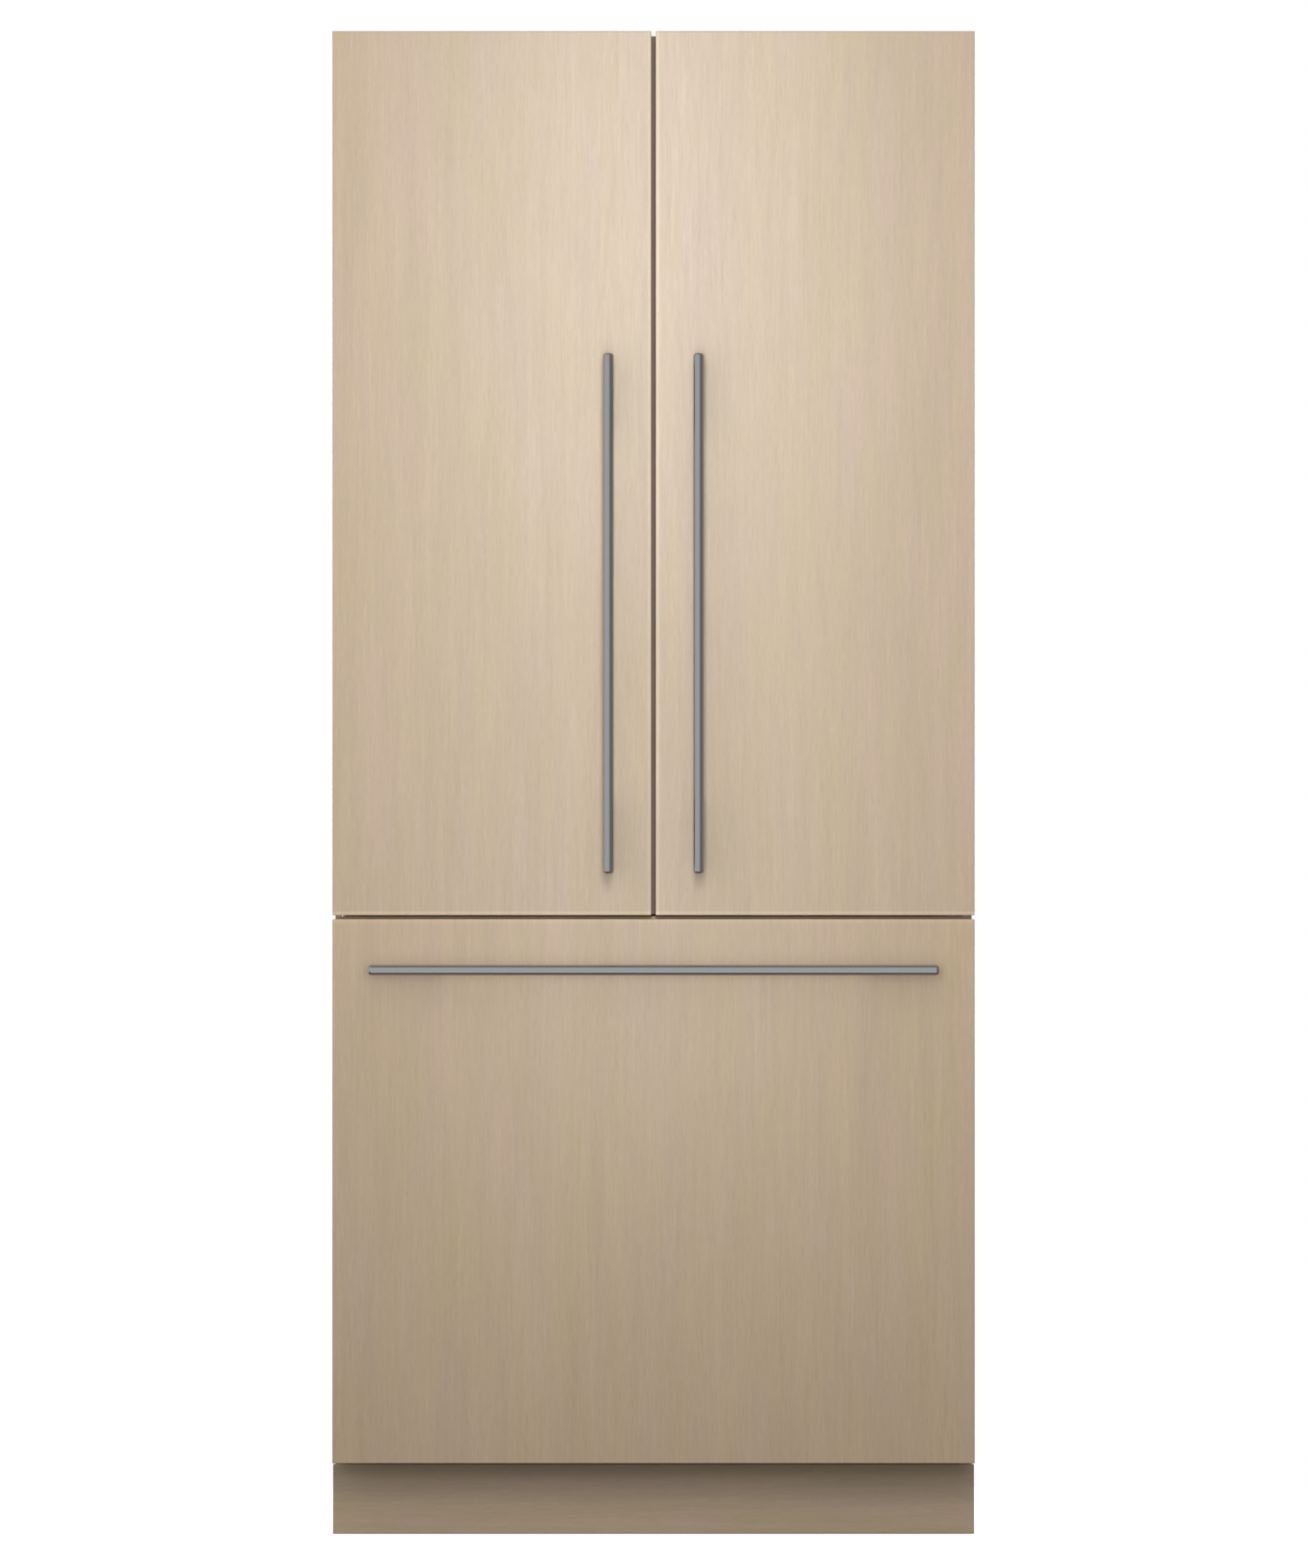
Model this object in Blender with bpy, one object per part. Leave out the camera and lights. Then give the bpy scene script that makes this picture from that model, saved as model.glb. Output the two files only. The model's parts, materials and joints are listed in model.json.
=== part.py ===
"""A tall built-in refrigerator: two French doors over one freezer drawer, all with wood fronts.

The front faces -Y and +Z is up. The origin is on the floor, under the middle of the whole depth.
Every piece is its own object, and the pieces of a moving assembly hang from an empty on its joint.
"""

import math

import bmesh
import bpy
import numpy as np
from mathutils import Matrix, Vector

# Overall size
WIDTH = 0.911
HEIGHT = 2.134
DEPTH = 0.674
GAP = 0.0003  # kept between pieces that touch
SIDES = {"left": -1, "right": 1}

# The wood fronts
PANEL_THICKNESS = 0.019
PANEL_EASE = 0.0012  # rounding of the panels' edges
DOOR_SPLIT = 0.0059  # gap between the two doors
TOE_Z = (0.001, 0.100)
TOE_RECESS = 0.067
TOE_THICKNESS = 0.016
DRAWER_Z = (0.103, 0.8748)
DOOR_Z = (0.8804, HEIGHT)

# The handles
BAR_DIAMETER = 0.015
HANDLE_STAND_OFF = 0.045  # from the panel's face to the bar's front
WEB_LENGTH = 0.104
WEB_THICKNESS = 0.008
DOOR_HANDLE_X = 0.064
DOOR_HANDLE_Z = (0.9393, 1.6769)
DRAWER_HANDLE_Z = 0.8028
DRAWER_HANDLE_X = 0.4046

# Depths, from the front to the back
FRONT = -DEPTH / 2
PANEL_Y = (FRONT + HANDLE_STAND_OFF, FRONT + HANDLE_STAND_OFF + PANEL_THICKNESS)
BODY_FRONT = -0.200
SHELL_Y = (PANEL_Y[1] + GAP, -0.213)
GASKET_Y = (SHELL_Y[1] + GAP, BODY_FRONT - GAP)
CORE_Y = (BODY_FRONT + 0.0018, 0.3312)
BACK_PANEL_Y = (CORE_Y[1] + GAP, 0.3327)
REAR_COVER_Y = (BACK_PANEL_Y[1] + GAP, 0.3345)

# The insulated cabinet
SKIN = 0.001
BODY_X = 0.4525
CORE_X = BODY_X - SKIN - GAP
BODY_TOP = HEIGHT - 0.005
CORE_Z = (0.1055, BODY_TOP - SKIN - GAP)
BASE_Z = (0.030, CORE_Z[0] - GAP)
LINER = 0.002
CAVITY_X = 0.400
FRIDGE_Z = (0.918, 2.072)
FRIDGE_BACK = 0.270
FREEZER_Z = (0.165, 0.842)
FREEZER_BACK = 0.262
STEP_Y = 0.050  # the freezer's floor steps up behind this
STEP_Z = 0.395
BAY_FRONT = 0.100
BAY_TOP = 0.345
BAY_CHEEK = 0.012
TRAY_TOP = 0.1025

# Doors and drawer behind their wood fronts
SHELL_X = 0.4515
DOOR_SHELL_Z = (0.885, 2.128)
DRAWER_SHELL_Z = (0.108, 0.866)
HINGE_X = 0.4375
HINGE_Y = -0.255
PIN_RADIUS = 0.0045
PIN_LENGTH = 0.014
GASKET_WIDTH = 0.018
GASKET_X = (0.010, 0.434)
DOOR_GASKET_Z = (0.893, 2.098)
DRAWER_GASKET_Z = (0.125, 0.8645)
DYKE_X = (0.062, 0.380)
DYKE_Z = (0.935, 2.035)
DYKE_BACK = -0.165
DYKE_WIDTH = 0.018
BIN_FLOORS = (1.130, 1.600)
BIN_HEIGHT = 0.115
BIN_BACK = -0.105
MULLION_X = 0.035
MULLION_Y = (-0.1997, -0.175)
MULLION_Z = (0.924, 2.045)
MULLION_PIVOT_Y = -0.190

# Inside the fresh-food space
SHELF_BOTTOMS = (1.340, 1.585, 1.830)
SHELF_THICKNESS = 0.007
SHELF_X = 0.3975
SHELF_Y = (-0.090, 0.2497)
COVER_BOTTOM = 1.205
LEDGE_X = (0.386, CAVITY_X)
LEDGE_HEIGHT = 0.012
CRISPER_X = (0.006, 0.388)
CRISPER_Y = (-0.030, 0.240)
CRISPER_Z = (0.9185, 1.180)

# Inside the freezer
RAIL_Z = (0.570, 0.6055)
BASKET_X = 0.366
BASKET_Y = (-0.207, 0.180)
BASKET_STEP_Y = 0.038
BASKET_Z = (0.190, 0.611)
BASKET_STEP_Z = 0.412
TRAY_X = 0.3975
TRAY_Y = (-0.185, 0.170)
TRAY_Z = (0.645, 0.745)
TRAY_LIP = 0.016
EVAPORATOR_COVER_Y = (0.200, 0.203)
FAN_Z = 0.765

# In the machine bay
COMPRESSOR_AT = (-0.220, 0.215)
CONDENSER_FAN_AT = (0.0375, 0.218, 0.2225)
CONDENSER_FAN_RADIUS = 0.078
EVAPORATOR_FAN_AT = (0.0, 0.216, FAN_Z)
EVAPORATOR_FAN_RADIUS = 0.054
INLET_AT = (-0.400, 0.305)
ROLLER_AT = (0.390, 0.270, 0.022)
ROLLER_HALF_WIDTH = 0.0182
FOOT_AT = (0.400, -0.150)

# What each kind of surface looks like: colour, roughness and metallic value
LOOKS = {
    "oak": ((0.60, 0.50, 0.37), 0.55, 0.0),
    "satin_steel": ((0.42, 0.43, 0.45), 0.32, 1.0),
    "painted_steel": ((0.46, 0.46, 0.45), 0.45, 0.0),
    "zinc_steel": ((0.55, 0.56, 0.57), 0.40, 1.0),
    "white_plastic": ((0.86, 0.87, 0.87), 0.35, 0.0),
    "clear_plastic": ((0.78, 0.83, 0.85), 0.12, 0.0),
    "glass": ((0.70, 0.80, 0.78), 0.05, 0.0),
    "foam": ((0.75, 0.62, 0.30), 0.90, 0.0),
    "black_plastic": ((0.03, 0.03, 0.03), 0.50, 0.0),
    "grey_rubber": ((0.25, 0.25, 0.25), 0.80, 0.0),
    "black_steel": ((0.02, 0.02, 0.02), 0.45, 0.0),
    "copper": ((0.72, 0.38, 0.25), 0.30, 1.0),
    "aluminium": ((0.70, 0.71, 0.72), 0.35, 1.0),
}


def clear_scene():
    for obj in list(bpy.data.objects):
        bpy.data.objects.remove(obj)


def span(side, near, far):
    """The X range between two distances from the middle, on one side."""
    return tuple(sorted((side * near, side * far)))


def both(reach):
    """The range that reaches equally far to both sides."""
    return (-reach, reach)


def grown(limits, by):
    return (limits[0] - by, limits[1] + by)


def paint(obj, look):
    colour, roughness, metallic = LOOKS[look]
    material = bpy.data.materials.new(obj.name)
    material.use_nodes = True
    shader = material.node_tree.nodes["Principled BSDF"]
    shader.inputs["Base Color"].default_value = (*colour, 1.0)
    shader.inputs["Roughness"].default_value = roughness
    shader.inputs["Metallic"].default_value = metallic
    obj.data.materials.append(material)


def add_object(name, bm, look, origin=(0.0, 0.0, 0.0)):
    """An object from a mesh in world space, with its own origin at the given point."""
    bmesh.ops.translate(bm, verts=bm.verts, vec=-Vector(origin))
    mesh = bpy.data.meshes.new(name)
    bm.to_mesh(mesh)
    bm.free()
    obj = bpy.data.objects.new(name, mesh)
    obj.location = origin
    bpy.context.scene.collection.objects.link(obj)
    paint(obj, look)
    return obj


def helper(obj):
    """Marks an object as a cutter or an addition, which isn't a piece itself."""
    obj.hide_render = True
    obj.display_type = "WIRE"
    return obj


def combine(obj, other, operation):
    modifier = obj.modifiers.new(f"{operation.lower()} {other.name}", "BOOLEAN")
    modifier.operation = operation
    modifier.object = helper(other)
    return obj


def ease(obj, width, segments=2):
    """Rounds an object's sharp edges."""
    modifier = obj.modifiers.new("eased edges", "BEVEL")
    modifier.width = width
    modifier.segments = segments
    modifier.limit_method = "ANGLE"
    modifier.angle_limit = math.radians(40)
    obj.data.shade_smooth()
    obj.data.set_sharp_from_angle(angle=math.radians(30))
    return obj


def fill(xs, ys, zs):
    return (True, (xs, ys, zs))


def cut(xs, ys, zs):
    return (False, (xs, ys, zs))


def block_mesh(steps):
    """A square-edged solid from boxes that are filled or cut, in order.

    The boxes' faces divide space into cells. Each face between a filled cell and an empty one
    becomes a face of the solid, and flat neighbours are then dissolved into one.
    """
    lines = [sorted({round(v, 6) for _, box in steps for v in box[axis]}) for axis in range(3)]
    filled = np.zeros([len(line) - 1 for line in lines], bool)
    for keep, box in steps:
        cells = [
            slice(*(line.index(round(v, 6)) for v in limits)) for line, limits in zip(lines, box)
        ]
        filled[tuple(cells)] = keep
    bm = bmesh.new()
    corners = {}

    def corner(index):
        if index not in corners:
            corners[index] = bm.verts.new([line[i] for line, i in zip(lines, index)])
        return corners[index]

    padded = np.pad(filled, 1)
    for axis in range(3):
        step = np.diff(padded.astype(int), axis=axis)
        first, second = (axis + 1) % 3, (axis + 2) % 3
        for cell in np.argwhere(step):
            low = [int(c) - 1 for c in cell]
            low[axis] += 1
            loop = []
            for along, across in ((0, 0), (1, 0), (1, 1), (0, 1)):
                index = list(low)
                index[first] += along
                index[second] += across
                loop.append(corner(tuple(index)))
            outward = step[tuple(cell)] < 0
            bm.faces.new(loop if outward else loop[::-1])
    bmesh.ops.dissolve_limit(bm, angle_limit=0.01, verts=bm.verts, edges=bm.edges)
    return bm


def blocks(name, steps, look, origin=(0.0, 0.0, 0.0)):
    return add_object(name, block_mesh(steps), look, origin)


def turned(name, profile, centre, look, axis="Z", sides=24):
    """A solid of revolution. The profile is (radius, distance along the axis) from low to high."""
    bm = bmesh.new()
    rings = []
    for radius, height in profile:
        angles = [2 * math.pi * i / sides for i in range(sides)]
        rings.append([bm.verts.new((radius * math.cos(a), radius * math.sin(a), height)) for a in angles])
    for lower, upper in zip(rings, rings[1:]):
        for i in range(sides):
            j = (i + 1) % sides
            bm.faces.new((lower[i], lower[j], upper[j], upper[i]))
    bm.faces.new(rings[0][::-1])
    bm.faces.new(rings[-1])
    turn = {
        "X": Matrix.Rotation(math.pi / 2, 4, "Y"),
        "Y": Matrix.Rotation(-math.pi / 2, 4, "X"),
        "Z": Matrix.Identity(4),
    }[axis]
    bmesh.ops.transform(bm, matrix=Matrix.Translation(centre) @ turn, verts=bm.verts)
    obj = add_object(name, bm, look, centre)
    obj.data.shade_smooth()
    obj.data.set_sharp_from_angle(angle=math.radians(35))
    return obj


def rounded_outline(xs, ys, radius, segments=3):
    """The corners of a rectangle with round corners, anticlockwise from above."""
    points = []
    for quarter, (x, y) in enumerate(((xs[1], ys[1]), (xs[0], ys[1]), (xs[0], ys[0]), (xs[1], ys[0]))):
        toward = Vector((1 if x == xs[1] else -1, 1 if y == ys[1] else -1))
        middle = Vector((x, y)) - toward * radius
        for i in range(segments + 1):
            angle = math.pi / 2 * (quarter + i / segments)
            points.append((middle.x + radius * math.cos(angle), middle.y + radius * math.sin(angle)))
    return points


def tub(name, xs, ys, zs, look, wall=0.003, radius=0.02, taper=0.006, lip=0.004, origin=(0, 0, 0)):
    """An open-topped box with round corners, sides that lean out, and a lip around its rim."""
    lip_z = zs[1] - 0.004
    levels = (
        (lip + taper, radius, zs[0]),
        (lip, radius, lip_z),
        (0.0, radius + lip, lip_z),
        (0.0, radius + lip, zs[1]),
        (lip + wall, radius - wall, zs[1]),
        (lip + taper + wall, radius - wall, zs[0] + wall),
    )
    bm = bmesh.new()
    rings = []
    for inset, corner_radius, z in levels:
        outline = rounded_outline(grown(xs, -inset), grown(ys, -inset), corner_radius)
        rings.append([bm.verts.new((x, y, z)) for x, y in outline])
    count = len(rings[0])
    for lower, upper in zip(rings, rings[1:]):
        for i in range(count):
            j = (i + 1) % count
            bm.faces.new((lower[i], lower[j], upper[j], upper[i]))
    bm.faces.new(rings[0][::-1])
    bm.faces.new(rings[-1])
    obj = add_object(name, bm, look, origin)
    obj.data.shade_smooth()
    obj.data.set_sharp_from_angle(angle=math.radians(35))
    return obj


def joint_empty(name, location):
    empty = bpy.data.objects.new(name, None)
    empty.location = location
    bpy.context.scene.collection.objects.link(empty)
    return empty


def hang(pieces, empty):
    """Parents pieces to the empty on their joint, leaving them where they are."""
    for piece in pieces:
        piece.parent = empty
        piece.location = piece.location - empty.location


def make_outer_wrapper():
    ys = (BODY_FRONT, BACK_PANEL_Y[1])
    steps = [fill(span(s, BODY_X - SKIN, BODY_X), ys, (BASE_Z[0], BODY_TOP)) for s in SIDES.values()]
    steps.append(fill(both(BODY_X), ys, (BODY_TOP - SKIN, BODY_TOP)))
    return blocks("outer_wrapper", steps, "painted_steel")


def make_cabinet_core():
    """Insulation between the outer wrapper and the liners, with the machine bay cut out behind."""
    room = LINER + GAP
    cavity_x = both(CAVITY_X + room)
    freezer_z = (FREEZER_Z[0] - room, FREEZER_Z[1] + room)
    steps = [
        fill(both(CORE_X), CORE_Y, CORE_Z),
        cut(cavity_x, (CORE_Y[0], FRIDGE_BACK + room), grown(FRIDGE_Z, room)),
        cut(cavity_x, (CORE_Y[0], STEP_Y + room), freezer_z),
        cut(cavity_x, (CORE_Y[0], FREEZER_BACK + room), (STEP_Z - room, freezer_z[1])),
        cut(both(CORE_X - BAY_CHEEK), (BAY_FRONT, CORE_Y[1]), (CORE_Z[0], BAY_TOP)),
    ]
    return blocks("cabinet_core", steps, "foam")


def make_face_frame():
    """The steel frame around both openings that the gaskets close against."""
    ys = (BODY_FRONT, CORE_Y[0] - GAP)
    opening_x = both(CAVITY_X + LINER + 0.0005)
    steps = [fill(both(CORE_X), ys, CORE_Z)]
    for zs in (FRIDGE_Z, FREEZER_Z):
        steps.append(cut(opening_x, ys, grown(zs, LINER + 0.0005)))
    return blocks("face_frame", steps, "painted_steel")


def make_back_panel():
    return blocks("back_panel", [fill(both(CORE_X), BACK_PANEL_Y, (BAY_TOP + 0.001, CORE_Z[1]))], "zinc_steel")


def ledges(bottoms, ys, near):
    """Pairs of ledges on a cavity's side walls, each just under a shelf or a rim."""
    return [
        fill(span(side, near, CAVITY_X), ys, (bottom - GAP - LEDGE_HEIGHT, bottom - GAP))
        for bottom in bottoms
        for side in SIDES.values()
    ]


def make_fridge_liner():
    front = BODY_FRONT + 0.0005
    steps = [
        fill(both(CAVITY_X + LINER), (front, FRIDGE_BACK + LINER), grown(FRIDGE_Z, LINER)),
        cut(both(CAVITY_X), (front, FRIDGE_BACK), FRIDGE_Z),
    ]
    steps += ledges((*SHELF_BOTTOMS, COVER_BOTTOM), (-0.080, FRIDGE_BACK), LEDGE_X[0])
    mullion_guide = fill((-0.028, 0.006), (-0.188, -0.150), (FRIDGE_Z[1] - 0.018, FRIDGE_Z[1]))
    return blocks("fridge_liner", [*steps, mullion_guide], "white_plastic")


def make_freezer_liner():
    front = BODY_FRONT + 0.0005
    top = FREEZER_Z[1]
    steps = [
        fill(both(CAVITY_X + LINER), (front, STEP_Y + LINER), grown(FREEZER_Z, LINER)),
        fill(both(CAVITY_X + LINER), (front, FREEZER_BACK + LINER), (STEP_Z - LINER, top + LINER)),
        cut(both(CAVITY_X), (front, STEP_Y), FREEZER_Z),
        cut(both(CAVITY_X), (front, FREEZER_BACK), (STEP_Z, top)),
    ]
    steps += ledges((TRAY_Z[1] - 0.004,), (-0.190, 0.190), TRAY_X - TRAY_LIP + 0.0025)
    return blocks("freezer_liner", steps, "white_plastic")


def make_base_frame():
    """Side plates, a front channel for the feet, a tray for the machinery and the rollers' forks."""
    sheet = 0.0025
    reach = 0.450
    front = BODY_FRONT + 0.002
    back = 0.330
    steps = [fill(span(s, reach - sheet, reach), (front, back), BASE_Z) for s in SIDES.values()]
    steps += [
        fill(both(reach), (front, front + sheet), BASE_Z),
        fill(both(reach), (front, -0.110), (BASE_Z[0], BASE_Z[0] + sheet)),
        fill(both(reach), (front, -0.160), (BASE_Z[1] - sheet, BASE_Z[1])),
        fill(both(reach), (0.060, back), (TRAY_TOP - sheet, TRAY_TOP)),
        fill(both(reach), (back - sheet, back), (0.060, TRAY_TOP)),
    ]
    toe_back = PANEL_Y[0] + TOE_RECESS + TOE_THICKNESS
    fork = ROLLER_HALF_WIDTH + GAP
    for side in SIDES.values():
        steps.append(fill(span(side, 0.26, 0.30), (toe_back + GAP, front), (0.045, 0.090)))
        for near in (ROLLER_AT[0] - fork - 0.0035, ROLLER_AT[0] + fork):
            cheek_x = span(side, near, near + 0.0035)
            steps.append(fill(cheek_x, grown((ROLLER_AT[1], ROLLER_AT[1]), 0.015), (0.018, TRAY_TOP - sheet)))
    return blocks("base_frame", steps, "zinc_steel")


def make_toe_kick():
    front = PANEL_Y[0] + TOE_RECESS
    board = blocks("toe_kick", [fill(both(WIDTH / 2), (front, front + TOE_THICKNESS), TOE_Z)], "oak")
    return ease(board, PANEL_EASE)


def make_foot(label, side):
    """A levelling foot: a round pad under a short threaded stem."""
    profile = ((0.0215, 0.0), (0.0225, 0.002), (0.0225, 0.007), (0.012, 0.012), (0.006, 0.013))
    profile += ((0.006, BASE_Z[0] - GAP),)
    return turned(f"foot_{label}", profile, (side * FOOT_AT[0], FOOT_AT[1], 0.0), "black_plastic")


def make_roller(label, side):
    tread = 0.014
    radius = ROLLER_AT[2]
    half = [(0.007, ROLLER_HALF_WIDTH), (0.007, tread), (radius - 0.0015, tread), (radius, tread - 0.0015)]
    profile = [(r, -h) for r, h in half] + [(r, h) for r, h in half[::-1]]
    centre = (side * ROLLER_AT[0], ROLLER_AT[1], ROLLER_AT[2])
    return turned(f"roller_{label}", profile, centre, "black_plastic", axis="X")


def make_compressor():
    """A domed steel can on a footed base plate."""
    x, y = COMPRESSOR_AT
    plate_z = (TRAY_TOP + 0.0055, TRAY_TOP + 0.0085)
    steps = [fill(grown((x, x), 0.105), grown((y, y), 0.080), plate_z)]
    for dx in (-0.085, 0.085):
        for dy in (-0.060, 0.060):
            foot_z = (TRAY_TOP + GAP, plate_z[0])
            steps.append(fill(grown((x + dx, x + dx), 0.012), grown((y + dy, y + dy), 0.012), foot_z))
    profile = ((0.070, 0.110), (0.085, 0.120), (0.090, 0.145), (0.090, 0.225), (0.080, 0.262))
    profile += ((0.052, 0.284), (0.018, 0.291))
    can = turned("compressor_can", profile, (x, y, 0.0), "black_steel")
    return combine(blocks("compressor", steps, "black_steel"), can, "UNION")


def serpentine(passes, length, pitch):
    """Points of a path that goes to and fro in the plane (along, up), with round bends."""
    points = []
    for i in range(passes):
        ends = [(0.0, i * pitch), (length, i * pitch)]
        if i % 2:
            ends.reverse()
        points += ends
        if i < passes - 1:
            direction = 1 if i % 2 == 0 else -1
            for step in range(1, 5):
                angle = -math.pi / 2 + math.pi * step / 5
                bulge = direction * pitch / 2 * math.cos(angle)
                points.append((ends[1][0] + bulge, (i + 0.5) * pitch + pitch / 2 * math.sin(angle)))
    return points


def make_condenser_coil():
    """One copper tube that climbs in one plane, crosses over and comes down in a second."""
    climb = serpentine(5, 0.120, 0.036)
    start = Vector((0.110, 0.155, 0.165))
    path = [start + Vector((0.0, along, up)) for along, up in climb]
    path += [start + Vector((0.040, along, up)) for along, up in climb[::-1]]
    curve = bpy.data.curves.new("condenser_coil", "CURVE")
    curve.dimensions = "3D"
    curve.bevel_depth = 0.004
    curve.bevel_resolution = 2
    curve.use_fill_caps = True
    spline = curve.splines.new("POLY")
    spline.points.add(len(path) - 1)
    for point, co in zip(spline.points, path):
        point.co = (*co, 1.0)
    obj = bpy.data.objects.new("condenser_coil", curve)
    bpy.context.scene.collection.objects.link(obj)
    paint(obj, "copper")
    return obj


def make_fan_shroud():
    """A plate with a round opening, and a bar behind it that holds the fan's motor."""
    x, y, z = CONDENSER_FAN_AT
    plate_x = grown((x, x), 0.0075)
    arm_x = (plate_x[0] - 0.016, plate_x[0] - 0.010)
    ys = grown((y, y), 0.100)
    arm_z = grown((z, z), 0.008)
    steps = [fill(plate_x, ys, (TRAY_TOP + GAP, 0.335)), fill(arm_x, ys, arm_z)]
    for end in (ys[0], ys[1] - 0.010):
        steps.append(fill((arm_x[0], plate_x[0]), (end, end + 0.010), arm_z))
    shroud = blocks("condenser_fan_shroud", steps, "black_plastic")
    opening = ((CONDENSER_FAN_RADIUS + 0.005, -0.0095), (CONDENSER_FAN_RADIUS + 0.005, 0.02))
    hole = turned("shroud_opening", opening, CONDENSER_FAN_AT, "black_plastic", axis="X", sides=32)
    return combine(shroud, hole, "DIFFERENCE")


def make_fan(name, centre, axis, radius, half_width, blade_count=5):
    """A hub with slanted blades that grow out of it."""
    hub_radius = radius * 0.34
    hub = turned(name, ((hub_radius, -half_width), (hub_radius, half_width)), centre, "black_plastic", axis)
    bm = bmesh.new()
    for i in range(blade_count):
        made = bmesh.ops.create_cube(bm, size=1.0)["verts"]
        length = radius - hub_radius * 0.6
        size = Matrix.Diagonal((length, radius * 0.52, 0.002, 1.0))
        pitch = Matrix.Rotation(math.radians(24), 4, "X")
        out = Matrix.Translation((hub_radius * 0.6 + length / 2, 0.0, 0.0))
        round_hub = Matrix.Rotation(2 * math.pi * i / blade_count, 4, "Z")
        bmesh.ops.transform(bm, matrix=round_hub @ out @ pitch @ size, verts=made)
    turn = Matrix.Rotation(math.pi / 2, 4, "Y") if axis == "X" else Matrix.Rotation(-math.pi / 2, 4, "X")
    bmesh.ops.transform(bm, matrix=Matrix.Translation(centre) @ turn, verts=bm.verts)
    blades = add_object(f"{name}_blades", bm, "black_plastic", centre)
    return combine(hub, blades, "UNION")


def make_drain_pan():
    zs = (TRAY_TOP + GAP, 0.135)
    return tub("drain_pan", (0.075, 0.400), (0.120, 0.310), zs, "black_plastic", radius=0.012)


def make_rear_cover():
    """A removable cover over the machine bay, with rows of slots and a hole for the power inlet."""
    steps = [fill(both(CORE_X - 0.0027), REAR_COVER_Y, (CORE_Z[0] + 0.0025, 0.372))]
    for row in range(3):
        for column in range(8):
            slot_x = -0.26 + 0.085 * column
            slot_z = 0.150 + 0.035 * row
            steps.append(cut((slot_x, slot_x + 0.060), REAR_COVER_Y, (slot_z, slot_z + 0.009)))
    x, z = INLET_AT
    steps.append(cut(grown((x, x), 0.0255), REAR_COVER_Y, grown((z, z), 0.0185)))
    return blocks("rear_cover", steps, "zinc_steel")


def make_power_inlet():
    """A flanged socket with three blades in its recess, for a detachable power lead."""
    x, z = INLET_AT
    flange_front = REAR_COVER_Y[1] + GAP
    back = DEPTH / 2
    steps = [
        fill(grown((x, x), 0.025), (0.312, flange_front), grown((z, z), 0.018)),
        fill(grown((x, x), 0.0315), (flange_front, back), grown((z, z), 0.024)),
        cut(grown((x, x), 0.017), (0.322, back), grown((z, z), 0.010)),
    ]
    for offset in (-0.009, 0.0, 0.009):
        steps.append(fill(grown((x + offset, x + offset), 0.001), (0.322, 0.332), grown((z, z), 0.003)))
    return blocks("power_inlet", steps, "black_plastic")


def make_evaporator_cover():
    """The freezer's rear panel, with a round opening for the fan and slots for the returning air."""
    reach = CAVITY_X - 0.006
    zs = (STEP_Z + 0.005, FREEZER_Z[1] - 0.004)
    steps = [fill(both(reach), EVAPORATOR_COVER_Y, zs)]
    for side in SIDES.values():
        steps.append(fill(span(side, reach - 0.003, reach), (EVAPORATOR_COVER_Y[0], FREEZER_BACK - GAP), zs))
    for column in range(6):
        slot_x = -0.27 + 0.095 * column
        steps.append(cut((slot_x, slot_x + 0.065), EVAPORATOR_COVER_Y, (zs[0] + 0.020, zs[0] + 0.032)))
    cover = blocks("evaporator_cover", steps, "white_plastic")
    centre = (0.0, EVAPORATOR_COVER_Y[0], FAN_Z)
    hole = turned("fan_opening", ((0.057, -0.01), (0.057, 0.02)), centre, "white_plastic", "Y", sides=32)
    return combine(cover, hole, "DIFFERENCE")


def make_evaporator_coil():
    """Upright fins joined by level tubes, with the fins set wider apart than real ones."""
    fin_count = 15
    pitch = 0.040
    tube_reach = pitch * (fin_count - 1) / 2
    steps = [fill(both(tube_reach), (0.228, 0.238), (z, z + 0.010)) for z in (0.470, 0.530, 0.590)]
    for i in range(fin_count):
        x = i * pitch - tube_reach
        steps.append(fill(grown((x, x), 0.001), (0.212, 0.254), (0.450, 0.620)))
    return blocks("evaporator_coil", steps, "aluminium")


def make_air_duct():
    """A raised channel up the back wall, with one pair of outlets for each shelf space."""
    ys = (FRIDGE_BACK - 0.0173, FRIDGE_BACK - GAP)
    steps = [fill(both(0.090), ys, (COVER_BOTTOM + 0.025, 2.000))]
    for bottom in (COVER_BOTTOM, *SHELF_BOTTOMS):
        for side in SIDES.values():
            outlet_z = (bottom + 0.100, bottom + 0.112)
            steps.append(cut(span(side, 0.020, 0.070), (ys[0], ys[0] + 0.008), outlet_z))
    return blocks("air_duct", steps, "white_plastic")


def make_light_bar():
    zs = (FRIDGE_Z[1] - 0.010, FRIDGE_Z[1] - GAP)
    return ease(blocks("light_bar", [fill(both(0.280), (0.020, 0.060), zs)], "clear_plastic"), 0.002)


def make_control_panel():
    zs = (FRIDGE_Z[1] - 0.014, FRIDGE_Z[1] - GAP)
    return ease(blocks("control_panel", [fill(both(0.110), (-0.135, -0.085), zs)], "black_plastic"), 0.002)


def make_shelf(name, bottom):
    zs = (bottom, bottom + SHELF_THICKNESS)
    return ease(blocks(name, [fill(both(SHELF_X), SHELF_Y, zs)], "glass"), 0.0015)


def make_crisper_cover():
    """The lowest shelf, which also closes the crispers from above."""
    zs = (COVER_BOTTOM, COVER_BOTTOM + SHELF_THICKNESS)
    return ease(blocks("crisper_cover", [fill(both(SHELF_X), (-0.060, SHELF_Y[1]), zs)], "glass"), 0.0015)


def make_crisper(label, side):
    xs = span(side, *CRISPER_X)
    origin = (sum(xs) / 2, CRISPER_Y[0], CRISPER_Z[0])
    return tub(f"crisper_{label}", xs, CRISPER_Y, CRISPER_Z, "clear_plastic", origin=origin)


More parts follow.
